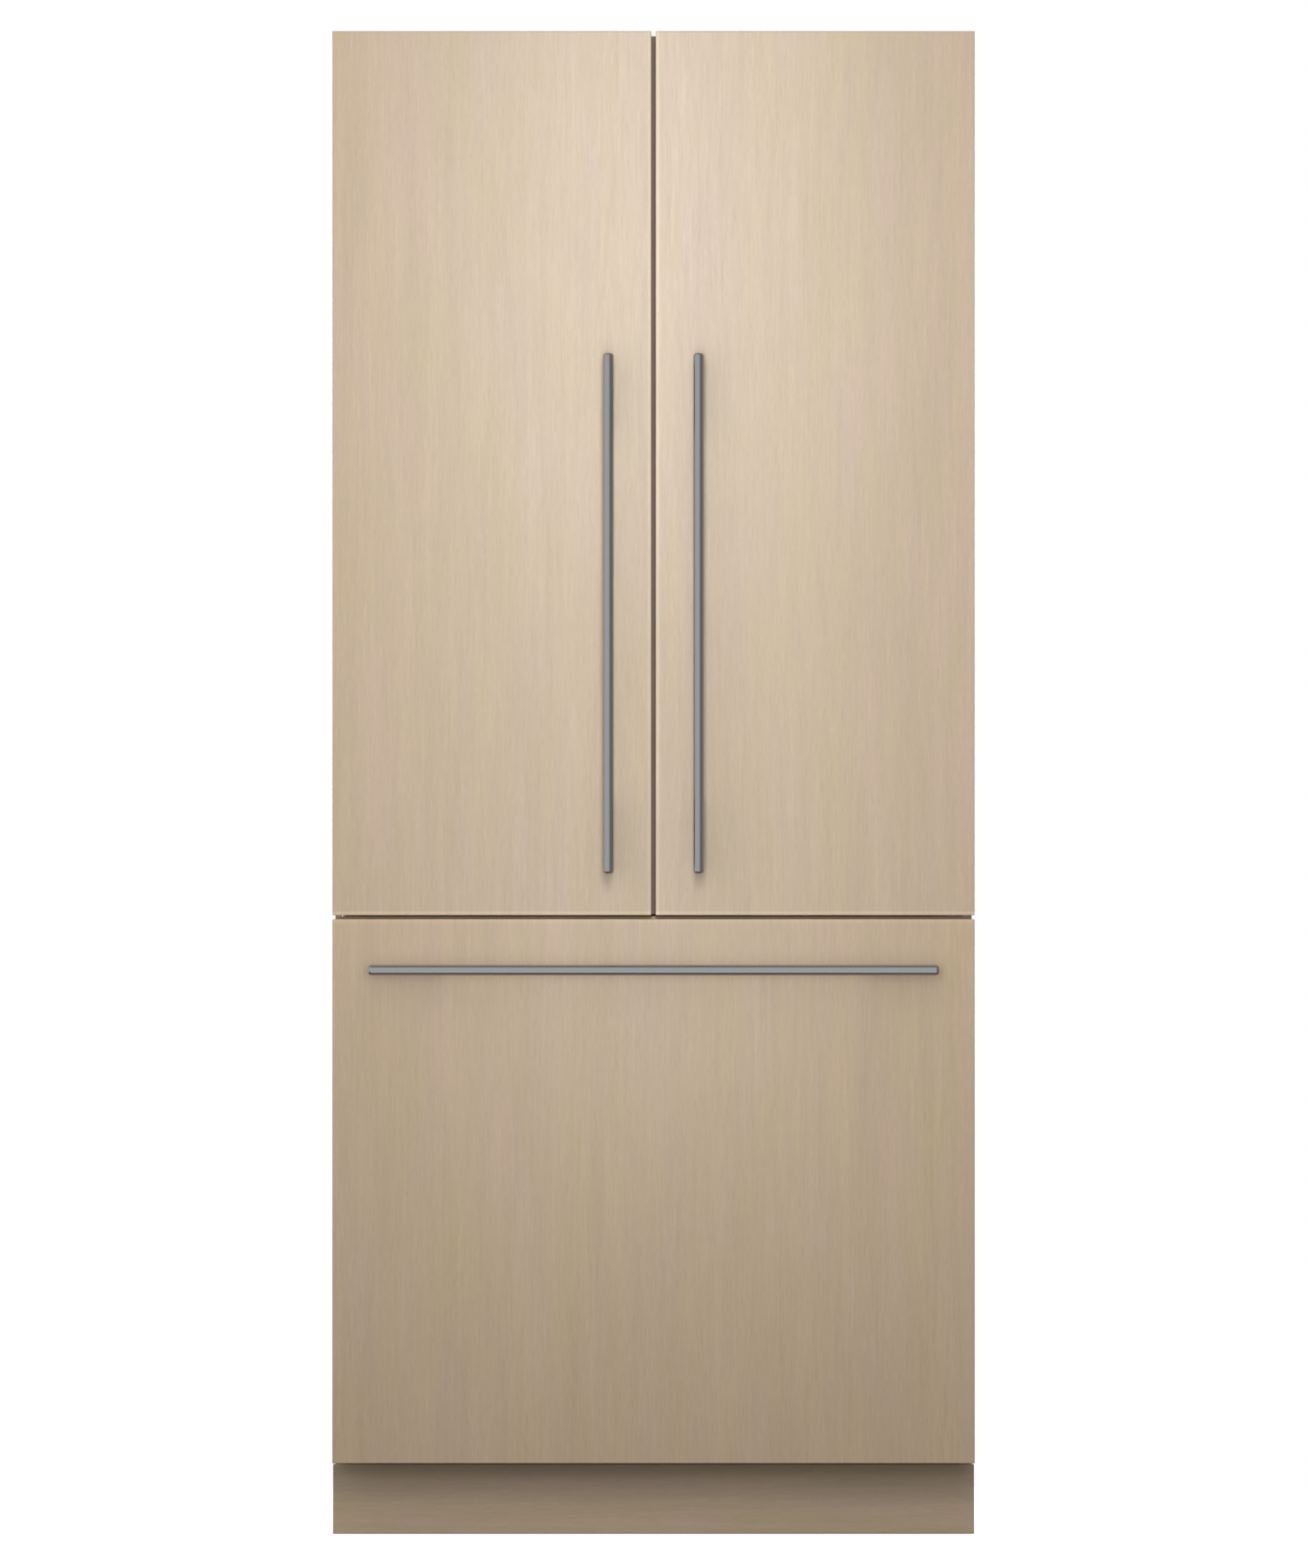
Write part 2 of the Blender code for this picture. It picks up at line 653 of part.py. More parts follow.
def make_hinge(label, side, level):
    """A bracket that stands out of the face frame, with the door's pin at its end."""
    top = level == "top"
    plate_z = (2.117, 2.122) if top else (0.873, 0.878)
    flange_z = (2.1045, 2.122) if top else (0.8675, 0.8905)
    back = BODY_FRONT - GAP
    steps = [
        fill(span(side, 0.4155, HINGE_X + 0.0065), (HINGE_Y - 0.0065, back), plate_z),
        fill(span(side, 0.4155, 0.4505), (back - 0.002, back), flange_z),
    ]
    hinge = blocks(f"hinge_{level}_{label}", steps, "zinc_steel")
    pin_z = (plate_z[0] - PIN_LENGTH, plate_z[0] + 0.002) if top else (plate_z[1] - 0.002, plate_z[1] + PIN_LENGTH)
    profile = [(PIN_RADIUS, z) for z in pin_z]
    pin = turned(f"pin_{level}_{label}", profile, (side * HINGE_X, HINGE_Y, 0.0), "zinc_steel", sides=16)
    return combine(hinge, pin, "UNION")


def make_door_shell(label, side):
    """The insulated door behind the wood panel, with the raised dykes that carry its bins."""
    steps = [
        fill(span(side, 0.007, SHELL_X), SHELL_Y, DOOR_SHELL_Z),
        cut(span(side, HINGE_X - 0.026, SHELL_X), SHELL_Y, (2.112, DOOR_SHELL_Z[1])),
    ]
    dyke_y = (SHELL_Y[1], DYKE_BACK)
    for near in (DYKE_X[0], DYKE_X[1] - DYKE_WIDTH):
        steps.append(fill(span(side, near, near + DYKE_WIDTH), dyke_y, DYKE_Z))
    for bottom in (DYKE_Z[0], DYKE_Z[1] - DYKE_WIDTH):
        steps.append(fill(span(side, *DYKE_X), dyke_y, (bottom, bottom + DYKE_WIDTH)))
    if label == "left":
        for arm_z in ((MULLION_Z[1] + 0.0005, MULLION_Z[1] + 0.0045), (0.9195, MULLION_Z[0] - 0.0005)):
            steps.append(fill((-0.056, -0.029), (SHELL_Y[1], MULLION_PIVOT_Y + 0.008), arm_z))
    origin = (side * HINGE_X, HINGE_Y, 0.0)
    shell = blocks(f"{label}_door_shell", steps, "white_plastic", origin)
    for level, zs in (("top", (2.098, 2.114)), ("bottom", (0.883, 0.8965))):
        profile = [(PIN_RADIUS + 0.0006, z) for z in zs]
        hole = turned(f"{label}_{level}_pin_hole", profile, origin, "white_plastic", sides=16)
        combine(shell, hole, "DIFFERENCE")
    return shell


def make_door_panel(label, side):
    steps = [fill(span(side, DOOR_SPLIT / 2, WIDTH / 2), PANEL_Y, DOOR_Z)]
    return ease(blocks(f"{label}_door_panel", steps, "oak"), PANEL_EASE)


def make_gasket(name, xs, zs):
    """A closed magnetic seal, one band wide all the way round."""
    steps = [
        fill(xs, GASKET_Y, zs),
        cut(grown(xs, -GASKET_WIDTH), GASKET_Y, grown(zs, -GASKET_WIDTH)),
    ]
    return blocks(name, steps, "grey_rubber")


def make_handle(name, axis, centre, length):
    """A round bar with softly rounded ends, held off the panel by a flat web at each end."""
    radius = BAR_DIAMETER / 2
    round_end = 0.003
    arc = [(radius - round_end * (1 - math.sin(a)), round_end * (1 - math.cos(a))) for a in (0.0, 0.8, math.pi / 2)]
    half = length / 2
    profile = [(r, inset - half) for r, inset in arc] + [(r, half - inset) for r, inset in arc[::-1]]
    bar = turned(name, profile, centre, "satin_steel", axis)
    web_y = (centre[1], PANEL_Y[0] - GAP)
    along = 0 if axis == "X" else 2
    thin = grown((centre[2 - along], centre[2 - along]), WEB_THICKNESS / 2)
    for label, end in (("low", -1), ("high", 1)):
        reach = sorted((centre[along] + end * (half - 0.0035), centre[along] + end * (half - WEB_LENGTH)))
        box = (reach, web_y, thin) if axis == "X" else (thin, web_y, reach)
        combine(bar, blocks(f"{name}_{label}_web", [fill(*box)], "satin_steel"), "UNION")
    return bar


def make_door_bin(label, side, number, floor):
    xs = span(side, DYKE_X[0] + DYKE_WIDTH + 0.0005, DYKE_X[1] - DYKE_WIDTH - 0.0005)
    ys = (SHELL_Y[1] + GAP, BIN_BACK)
    name = f"{label}_door_bin_{number}"
    return tub(name, xs, ys, (floor, floor + BIN_HEIGHT), "clear_plastic", radius=0.015, lip=0.003)


def make_mullion():
    """The hinged bar on the left door that both doors' gaskets close against."""
    origin = (-MULLION_X, MULLION_PIVOT_Y, 0.0)
    bar = blocks("flip_mullion", [fill(both(MULLION_X), MULLION_Y, MULLION_Z)], "painted_steel", origin)
    return ease(bar, 0.002)


def make_drawer_shell():
    pad = fill(both(0.350), (SHELL_Y[1], SHELL_Y[1] + 0.0055), (0.220, 0.560))
    return blocks("drawer_shell", [fill(both(SHELL_X), SHELL_Y, DRAWER_SHELL_Z), pad], "white_plastic")


def make_drawer_panel():
    return ease(blocks("drawer_panel", [fill(both(WIDTH / 2), PANEL_Y, DRAWER_Z)], "oak"), PANEL_EASE)


def make_drawer_basket():
    """The deep freezer bin, stepped like the floor below it, with side rims over the rails."""
    wall = 0.003
    rear_z = (BASKET_STEP_Z, BASKET_Z[1])
    steps = [
        fill(both(BASKET_X), (BASKET_Y[0], BASKET_STEP_Y), BASKET_Z),
        fill(both(BASKET_X), BASKET_Y, rear_z),
        cut(both(BASKET_X - wall), (BASKET_Y[0] + wall, BASKET_STEP_Y - wall), (BASKET_Z[0] + wall, BASKET_Z[1])),
        cut(both(BASKET_X - wall), grown(BASKET_Y, -wall), (rear_z[0] + wall, rear_z[1])),
    ]
    for side in SIDES.values():
        steps.append(fill(span(side, BASKET_X, 0.3845), BASKET_Y, (RAIL_Z[1] + 0.0005, BASKET_Z[1])))
    return blocks("drawer_basket", steps, "white_plastic")


def make_freezer_tray():
    origin = (0.0, TRAY_Y[0], TRAY_Z[0])
    return tub("freezer_tray", both(TRAY_X), TRAY_Y, TRAY_Z, "white_plastic", lip=TRAY_LIP, origin=origin)


def rail_channel(side, near, far, ys, open_inward):
    """A shallow channel: a web with a lip along its top and bottom."""
    web = 0.0020
    lip = 0.0035
    groove = (near, far - web) if open_inward else (near + web, far)
    return [
        fill(span(side, near, far), ys, RAIL_Z),
        cut(span(side, *groove), ys, grown(RAIL_Z, -lip)),
    ]


def make_fixed_rail(label, side):
    steps = rail_channel(side, 0.3925, CAVITY_X - GAP, (-0.190, 0.197), open_inward=True)
    return blocks(f"fixed_rail_{label}", steps, "zinc_steel")


def make_mid_rail(label, side):
    ys = (-0.188, 0.195)
    steps = rail_channel(side, 0.3850, 0.3922, ys, open_inward=False)
    origin = (side * 0.3886, ys[0], sum(RAIL_Z) / 2)
    return blocks(f"mid_rail_{label}", steps, "zinc_steel", origin)


def make_drawer_rail(label, side):
    """The rail's inner member, with the tab that bolts to the back of the drawer front."""
    steps = rail_channel(side, 0.3778, 0.3847, (-0.2127, 0.190), open_inward=True)
    steps.append(fill(span(side, 0.330, 0.3847), (-0.2127, -0.2100), RAIL_Z))
    return blocks(f"drawer_rail_{label}", steps, "zinc_steel")


def build_cabinet():
    make_outer_wrapper()
    make_cabinet_core()
    make_face_frame()
    make_back_panel()
    make_fridge_liner()
    make_freezer_liner()
    make_base_frame()
    make_toe_kick()
    for label, side in SIDES.items():
        make_foot(label, side)
        make_roller(label, side)


def build_machinery():
    make_compressor()
    make_condenser_coil()
    make_fan_shroud()
    make_fan("condenser_fan", CONDENSER_FAN_AT, "X", CONDENSER_FAN_RADIUS, 0.012)
    make_drain_pan()
    make_rear_cover()
    make_power_inlet()
    make_evaporator_cover()
    make_evaporator_coil()
    make_fan("evaporator_fan", EVAPORATOR_FAN_AT, "Y", EVAPORATOR_FAN_RADIUS, 0.010)


def build_interior():
    make_air_duct()
    make_light_bar()
    make_control_panel()
    for number, bottom in enumerate(SHELF_BOTTOMS, 1):
        make_shelf(f"shelf_{number}", bottom)
    make_crisper_cover()
    for label, side in SIDES.items():
        make_crisper(label, side)
        make_fixed_rail(label, side)
        make_mid_rail(label, side)
    make_freezer_tray()


def build_door(label, side):
    handle_length = DOOR_HANDLE_Z[1] - DOOR_HANDLE_Z[0]
    bar_y = FRONT + BAR_DIAMETER / 2
    handle_centre = (side * DOOR_HANDLE_X, bar_y, sum(DOOR_HANDLE_Z) / 2)
    pieces = [
        make_door_panel(label, side),
        make_door_shell(label, side),
        make_gasket(f"{label}_door_gasket", span(side, *GASKET_X), DOOR_GASKET_Z),
        make_handle(f"{label}_door_handle", "Z", handle_centre, handle_length),
    ]
    pieces += [make_door_bin(label, side, number, floor) for number, floor in enumerate(BIN_FLOORS, 1)]
    for level in ("top", "middle"):
        make_hinge(label, side, level)
    hang(pieces, joint_empty(f"{label}_door_joint", (side * HINGE_X, HINGE_Y, 0.0)))


def build_drawer():
    handle_centre = (0.0, FRONT + BAR_DIAMETER / 2, DRAWER_HANDLE_Z)
    pieces = [
        make_drawer_panel(),
        make_drawer_shell(),
        make_gasket("drawer_gasket", both(GASKET_X[1]), DRAWER_GASKET_Z),
        make_handle("drawer_handle", "X", handle_centre, 2 * DRAWER_HANDLE_X),
        make_drawer_basket(),
    ]
    pieces += [make_drawer_rail(label, side) for label, side in SIDES.items()]
    hang(pieces, joint_empty("drawer_joint", (0.0, PANEL_Y[0], sum(RAIL_Z) / 2)))


def main():
    clear_scene()
    build_cabinet()
    build_machinery()
    build_interior()
    for label, side in SIDES.items():
        build_door(label, side)
    make_mullion()
    build_drawer()


main()
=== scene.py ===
"""The looks of a panel-ready French door refrigerator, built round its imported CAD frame.

Run as a script it dresses every CAD piece, adds the fine pieces that the CAD leaves out, and sets a
plain studio. The front faces -Y and +Z is up. All lengths are in metres unless a name says mm.
"""

import json
import math

import bmesh
import bpy
from bpy.props import FloatProperty, FloatVectorProperty, PointerProperty
from mathutils import Matrix, Vector

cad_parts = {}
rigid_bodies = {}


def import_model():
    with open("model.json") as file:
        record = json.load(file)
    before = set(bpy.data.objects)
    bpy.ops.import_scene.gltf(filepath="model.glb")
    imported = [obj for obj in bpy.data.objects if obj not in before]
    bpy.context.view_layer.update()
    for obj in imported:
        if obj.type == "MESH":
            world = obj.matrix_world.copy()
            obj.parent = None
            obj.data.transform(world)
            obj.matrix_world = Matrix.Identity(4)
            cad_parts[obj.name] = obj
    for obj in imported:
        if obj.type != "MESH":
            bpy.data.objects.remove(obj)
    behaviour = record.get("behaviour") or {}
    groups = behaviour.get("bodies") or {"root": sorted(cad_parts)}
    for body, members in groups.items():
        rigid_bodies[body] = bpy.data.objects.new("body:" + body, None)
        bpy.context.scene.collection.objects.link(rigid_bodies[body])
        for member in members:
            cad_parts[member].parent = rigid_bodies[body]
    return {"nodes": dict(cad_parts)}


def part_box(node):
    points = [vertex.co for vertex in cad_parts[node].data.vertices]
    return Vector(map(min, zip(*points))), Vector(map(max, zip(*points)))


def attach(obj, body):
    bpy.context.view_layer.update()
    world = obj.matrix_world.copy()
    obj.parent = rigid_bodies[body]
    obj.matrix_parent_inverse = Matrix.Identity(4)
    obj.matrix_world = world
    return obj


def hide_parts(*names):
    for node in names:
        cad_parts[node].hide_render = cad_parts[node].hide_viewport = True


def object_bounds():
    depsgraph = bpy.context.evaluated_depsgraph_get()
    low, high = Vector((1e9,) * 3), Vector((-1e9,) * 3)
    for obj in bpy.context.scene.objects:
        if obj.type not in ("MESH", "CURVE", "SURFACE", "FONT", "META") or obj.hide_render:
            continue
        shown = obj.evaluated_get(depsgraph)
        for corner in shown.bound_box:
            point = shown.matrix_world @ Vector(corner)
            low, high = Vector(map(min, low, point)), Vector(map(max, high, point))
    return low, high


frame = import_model()
NODES = frame["nodes"]
CAD_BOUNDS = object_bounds()

bl_info = {
    "name": "French door refrigerator",
    "version": (1, 0, 0),
    "blender": (4, 5, 0),
    "location": "3D View > Sidebar > Refrigerator",
    "description": "Dresses a panel-ready French door refrigerator and sets a studio for it",
    "category": "Object",
}

MM = 0.001
FLOOR_REACH = 1.8  # half the side of the studio's floor
WEB_LENGTH = 0.104  # of the flat webs that hold a handle's bar
HINGE_X, HINGE_Y = 0.4375, -0.255  # the doors' upright axes, mirrored in x
FREEZER_FAN_Z = 0.765  # the fan's level axis, on the middle line
SIDES = {"left": -1, "right": 1}


def linear(hex_colour):
    """A linear colour from an sRGB hex value such as CDB497."""
    channels = [int(hex_colour[i : i + 2], 16) / 255 for i in (0, 2, 4)]
    return [c / 12.92 if c <= 0.04045 else ((c + 0.055) / 1.055) ** 2.4 for c in channels]


# ---------------------------------------------------------------- sizes and colours to change


class FrontSettings(bpy.types.PropertyGroup):
    """The wood fronts and their handles."""

    veneer: FloatVectorProperty(
        name="Veneer", description="Colour of the oak between its grain lines", subtype="COLOR",
        size=3, min=0.0, max=1.0, default=linear("C9B397"),
    )
    leaf_width: FloatProperty(
        name="Leaf width", description="Width of one leaf of veneer", unit="LENGTH",
        default=105 * MM, min=20 * MM,
    )
    handle: FloatVectorProperty(
        name="Handle metal", description="Colour of the anodised bars", subtype="COLOR",
        size=3, min=0.0, max=1.0, default=linear("B2B4B8"),
    )
    bar_diameter: FloatProperty(
        name="Bar diameter", description="Thickness of the handles' bars", unit="LENGTH",
        default=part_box("left_door_handle")[1].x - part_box("left_door_handle")[0].x,
    )


class StudioSettings(bpy.types.PropertyGroup):
    """The camera, the floor and the lights."""

    camera_distance: FloatProperty(
        name="Camera distance", description="From the fronts to the camera", unit="LENGTH", default=30.0
    )
    view_height: FloatProperty(
        name="View height", description="Height of the view at the fronts", unit="LENGTH", default=2.2232
    )
    key_power: FloatProperty(
        name="Key power", description="Power of the front light", unit="POWER", default=14.0
    )
    fill_strength: FloatProperty(name="Fill", description="Brightness of the room", default=0.44)


# ---------------------------------------------------------------- node and mesh helpers


def add_node(material, kind, settings=None, **inputs):
    """Adds a node, sets its properties, and gives each named input a value or another node's output."""
    node = material.node_tree.nodes.new(kind)
    for name, value in (settings or {}).items():
        setattr(node, name, value)
    for name, value in inputs.items():
        key = int(name[1:]) if name[0] == "i" and name[1:].isdigit() else name.replace("_", " ")
        if isinstance(value, bpy.types.NodeSocket):
            material.node_tree.links.new(value, node.inputs[key])
        else:
            node.inputs[key].default_value = value
    return node


def new_material(name, colour, **shader_inputs):
    """A material whose shader holds constant values. The colour may be None where a node gives it."""
    material = bpy.data.materials.new(name)
    material.use_nodes = True
    shader = material.node_tree.nodes["Principled BSDF"]
    if colour is not None:
        shader.inputs["Base Color"].default_value = (*colour, 1.0)
        material.diffuse_color = (*colour, 1.0)
    for name, value in shader_inputs.items():
        shader.inputs[name.replace("_", " ")].default_value = value
    return material, shader


def link(material, output, socket):
    """Joins a node's output to a socket."""
    material.node_tree.links.new(output, socket)


def noise(material, cell_mm, detail=2.0, offset=(0.0, 0.0, 0.0), roughness=0.5, distortion=0.0):
    """Noise whose features are about cell_mm = (x, y, z) millimetres across, in the object's space."""
    place = add_node(material, "ShaderNodeTexCoord").outputs["Object"]
    scale = [1.0 / (size * MM) for size in cell_mm]
    mapped = add_node(material, "ShaderNodeMapping", Vector=place, Location=offset, Scale=scale)
    texture = add_node(
        material, "ShaderNodeTexNoise", {"noise_dimensions": "3D"}, Vector=mapped.outputs[0],
        Scale=1.0, Detail=detail, Roughness=roughness, Distortion=distortion,
    )
    return texture.outputs["Fac"]


def spread(material, value, low, high, from_low=0.3, from_high=0.7):
    """Maps a noise's middle range to low..high."""
    ranged = add_node(
        material, "ShaderNodeMapRange", i0=value, i1=from_low, i2=from_high, i3=low, i4=high
    )
    return ranged.outputs[0]


def multiply(material, *factors):
    """The product of outputs and plain numbers."""
    total = factors[0]
    for factor in factors[1:]:
        product = add_node(material, "ShaderNodeMath", {"operation": "MULTIPLY"}, i0=total, i1=factor)
        total = product.outputs[0]
    return total


def shade(material, colour, factor):
    """A colour times a brightness."""
    return add_node(
        material, "ShaderNodeVectorMath", {"operation": "SCALE"}, Vector=colour, Scale=factor
    ).outputs[0]


def bump(material, height, depth_mm, strength=1.0, normal=None):
    """A normal for relief of this depth, over another normal if one is given."""
    inputs = {"Height": height, "Distance": depth_mm * MM, "Strength": strength}
    if normal is not None:
        inputs["Normal"] = normal
    return add_node(material, "ShaderNodeBump", None, **inputs).outputs[0]


# ---------------------------------------------------------------- materials


def lacquered_oak_veneer(name, board, colour, leaf_width, edge_highlight, upright=True):
    """Rift-cut oak veneer, pressed on a board, sanded and sprayed with a satin lacquer.

    The eye gets straight grain with no arches, leaves that differ a little in warmth, short open
    pores and flecks, and a soft sheen. The edges named in edge_highlight, with how much, are painted
    paler: a painted highlight that stands in for the light the eased edges catch. Real growth rings
    are 1 to 2 mm apart; here the finest lines are 2.6 mm apart so that they show at arm's length and beyond.
    """
    material, shader = new_material(name, colour, Roughness=0.31, IOR=1.5)
    low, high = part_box(board)
    place = add_node(material, "ShaderNodeTexCoord").outputs["Object"]
    axes = add_node(material, "ShaderNodeSeparateXYZ", Vector=place)
    across = axes.outputs["X" if upright else "Z"]
    shift = sum(ord(letter) for letter in board) * 0.37

    def grain(width, length, **kw):
        cell = (width, 60.0, length) if upright else (length, 60.0, width)
        return noise(material, cell, offset=(shift, 0.0, shift), **kw)

    leaf_place = add_node(
        material, "ShaderNodeMath", {"operation": "MULTIPLY_ADD"}, i0=across, i1=1.0 / leaf_width, i2=shift
    ).outputs[0]
    leaf = add_node(
        material, "ShaderNodeTexVoronoi", {"voronoi_dimensions": "1D"},
        W=leaf_place, Scale=1.0, Randomness=0.8,
    )
    leaf_tone = add_node(material, "ShaderNodeSeparateColor", Color=leaf.outputs["Color"])
    lines = grain(2.6, 85.0, detail=4.0, roughness=0.62, distortion=0.3)
    streaks = grain(9.0, 190.0, detail=4.0, roughness=0.6, distortion=0.5)
    flecks = grain(3.6, 22.0, detail=3.0, roughness=0.68)
    pores = grain(1.2, 16.0, detail=1.0)
    brightness = multiply(
        material,
        spread(material, leaf_tone.outputs["Red"], 0.982, 1.014, 0.0, 1.0),
        spread(material, streaks, 0.968, 1.034),
        spread(material, grain(27.0, 420.0, detail=2.0, distortion=0.4), 0.972, 1.028),
        spread(material, lines, 0.966, 1.030),
        spread(material, flecks, 0.958, 1.038),
        spread(material, pores, 1.0, 0.94, 0.60, 0.72),
    )
    warmth = add_node(
        material, "ShaderNodeMath",
        i0=spread(material, grain(42.0, 260.0, detail=4.0, distortion=0.4), 0.0, 0.8),
        i1=multiply(material, leaf_tone.outputs["Green"], 0.2),
    ).outputs[0]
    tint = add_node(material, "ShaderNodeMix", {"data_type": "RGBA"}, i0=warmth)
    tint.inputs[6].default_value = (colour[0] * 0.985, colour[1] * 1.000, colour[2] * 0.930, 1.0)
    tint.inputs[7].default_value = (colour[0] * 1.012, colour[1] * 0.992, colour[2] * 1.085, 1.0)
    factors = [brightness]
    edges = {
        "left": ("X", low.x, 1), "right": ("X", high.x, -1),
        "bottom": ("Z", low.z, 1), "top": ("Z", high.z, -1),
    }
    # Painted highlight: each edge named here is painted paler, standing in for the light an eased edge
    # catches.
    for edge, strength in edge_highlight.items():
        axis, start, inward = edges[edge]
        inside = add_node(
            material, "ShaderNodeMath", {"operation": "MULTIPLY_ADD"},
            i0=axes.outputs[axis], i1=inward, i2=-inward * start,
        ).outputs[0]
        factors.append(spread(material, inside, 1.0 + strength, 1.0, 4.2 * MM, 6.4 * MM))
    stain_and_edge_highlight = shade(material, tint.outputs[2], multiply(material, *factors))
    link(material, stain_and_edge_highlight, shader.inputs["Base Color"])
    link(material, spread(material, lines, 0.335, 0.285), shader.inputs["Roughness"])
    relief = add_node(material, "ShaderNodeMath", i0=lines, i1=multiply(material, pores, -0.6)).outputs[0]
    link(material, bump(material, relief, 0.05, 0.35), shader.inputs["Normal"])
    return material


def satin_anodised_aluminium(name, colour):
    """Extruded aluminium bar, bead-blasted and clear anodised.

    The eye gets a soft cool grey metal with a broad highlight and a very fine even tooth.
    """
    material, shader = new_material(name, colour, Metallic=1.0, Roughness=0.22)
    tooth = noise(material, (0.5, 0.5, 0.5), detail=2.0)
    link(material, spread(material, tooth, 0.19, 0.26), shader.inputs["Roughness"])
    link(material, bump(material, tooth, 0.004, 0.2), shader.inputs["Normal"])
    return material


def powder_coated_steel(name, hex_colour):
    """Sheet steel with a baked powder coat: an even colour under a faint orange peel."""
    material, shader = new_material(name, linear(hex_colour), Roughness=0.42, IOR=1.5)
    peel = noise(material, (2.2, 2.2, 2.2), detail=2.0)
    patches = noise(material, (180.0, 180.0, 260.0), detail=2.0)
    tone = spread(material, patches, 0.97, 1.03)
    link(material, shade(material, linear(hex_colour), tone), shader.inputs["Base Color"])
    link(material, spread(material, peel, 0.38, 0.46), shader.inputs["Roughness"])
    link(material, bump(material, peel, 0.04, 0.35), shader.inputs["Normal"])
    return material


def zinc_plated_steel(name, hex_colour):
    """Cold-rolled sheet, zinc-plated: a bright cool metal with cloudy spangle and rolling lines."""
    colour = linear(hex_colour)
    material, shader = new_material(name, colour, Metallic=1.0, Roughness=0.38)
    place = add_node(material, "ShaderNodeTexCoord").outputs["Object"]
    spangle = add_node(
        material, "ShaderNodeTexVoronoi", {"feature": "F1"},
        Vector=place, Scale=1.0 / (14 * MM), Randomness=1.0,
    )
    grey = add_node(material, "ShaderNodeSeparateColor", Color=spangle.outputs["Color"])
    rolling = noise(material, (3.0, 3.0, 160.0), detail=2.0)
    tone = multiply(
        material,
        spread(material, grey.outputs["Red"], 0.90, 1.06, 0.0, 1.0),
        spread(material, rolling, 0.96, 1.04),
    )
    link(material, shade(material, colour, tone), shader.inputs["Base Color"])
    link(material, spread(material, grey.outputs["Green"], 0.32, 0.46, 0.0, 1.0), shader.inputs["Roughness"])
    return material


def thermoformed_polystyrene(name, hex_colour, roughness=0.34):
    """High-impact polystyrene sheet, vacuum-formed: smooth, slightly soft-looking, faintly rippled."""
    material, shader = new_material(name, linear(hex_colour), Roughness=roughness, IOR=1.59)
    shader.inputs["Subsurface Weight"].default_value = 0.05
    shader.inputs["Subsurface Radius"].default_value = (0.004, 0.004, 0.004)
    ripple = noise(material, (28.0, 28.0, 28.0), detail=1.0)
    tooth = noise(material, (0.9, 0.9, 0.9), detail=1.0)
    link(material, spread(material, tooth, roughness - 0.03, roughness + 0.04), shader.inputs["Roughness"])
    gentle = bump(material, ripple, 0.25, 0.2)
    link(material, bump(material, tooth, 0.01, 0.2, gentle), shader.inputs["Normal"])
    tone = spread(material, ripple, 0.985, 1.01)
    link(material, shade(material, linear(hex_colour), tone), shader.inputs["Base Color"])
    return material


def moulded_clear_polystyrene(name):
    """Clear injection-moulded polystyrene: see-through, glossy, nearly colourless, with soft flow lines."""
    colour = linear("F2F6F5")
    material, shader = new_material(name, colour, Roughness=0.10, IOR=1.59, Alpha=0.30)
    flow = noise(material, (90.0, 90.0, 45.0), detail=1.0, distortion=0.4)
    link(material, spread(material, flow, 0.07, 0.14), shader.inputs["Roughness"])
    link(material, shade(material, colour, spread(material, flow, 0.985, 1.01)), shader.inputs["Base Color"])
    link(material, bump(material, flow, 0.10, 0.10), shader.inputs["Normal"])
    return material


def toughened_glass(name):
    """Float glass, cut, edge-ground and toughened: clear with a faint green cast and a hard gloss."""
    colour = linear("D3E4DD")
    material, shader = new_material(name, colour, Roughness=0.03, IOR=1.52, Alpha=0.22)
    smear = noise(material, (120.0, 120.0, 120.0), detail=2.0)
    link(material, spread(material, smear, 0.02, 0.07), shader.inputs["Roughness"])
    link(material, shade(material, colour, spread(material, smear, 0.96, 1.03)), shader.inputs["Base Color"])
    return material


def moulded_abs(name, hex_colour, roughness=0.5):
    """Injection-moulded ABS with an etched mould texture: matt, with a fine even grain."""
    material, shader = new_material(name, linear(hex_colour), Roughness=roughness, IOR=1.54)
    grain = noise(material, (0.7, 0.7, 0.7), detail=2.0)
    dust = noise(material, (40.0, 40.0, 40.0), detail=3.0)
    link(material, spread(material, grain, roughness - 0.06, roughness + 0.08), shader.inputs["Roughness"])
    link(material, bump(material, grain, 0.03, 0.4), shader.inputs["Normal"])
    dusty = shade(material, linear(hex_colour), spread(material, dust, 0.9, 1.12))
    link(material, dusty, shader.inputs["Base Color"])
    return material


def extruded_soft_pvc(name, hex_colour):
    """Plasticised PVC gasket, extruded and welded at its corners: dull, slightly greasy, faint die lines."""
    material, shader = new_material(name, linear(hex_colour), Roughness=0.6, IOR=1.53)
    lines = noise(material, (1.6, 1.6, 1.6), detail=2.0)
    tone = spread(material, noise(material, (30.0, 30.0, 90.0), detail=2.0), 0.94, 1.05)
    link(material, shade(material, linear(hex_colour), tone), shader.inputs["Base Color"])
    link(material, spread(material, lines, 0.52, 0.68), shader.inputs["Roughness"])
    link(material, bump(material, lines, 0.05, 0.3), shader.inputs["Normal"])
    return material


def drawn_copper(name):
    """Drawn copper tube, handled and lightly tarnished: warm metal with brown clouds."""
    bright, dull = linear("D08A64"), linear("8A5238")
    material, shader = new_material(name, bright, Metallic=1.0, Roughness=0.32)
    cloud = noise(material, (22.0, 22.0, 22.0), detail=4.0)
    tarnish = spread(material, cloud, 0.0, 1.0, 0.4, 0.75)
    mixed = add_node(material, "ShaderNodeMix", {"data_type": "RGBA"}, i0=tarnish)
    mixed.inputs[6].default_value = (*bright, 1.0)
    mixed.inputs[7].default_value = (*dull, 1.0)
    link(material, mixed.outputs[2], shader.inputs["Base Color"])
    link(material, spread(material, cloud, 0.24, 0.48), shader.inputs["Roughness"])
    return material


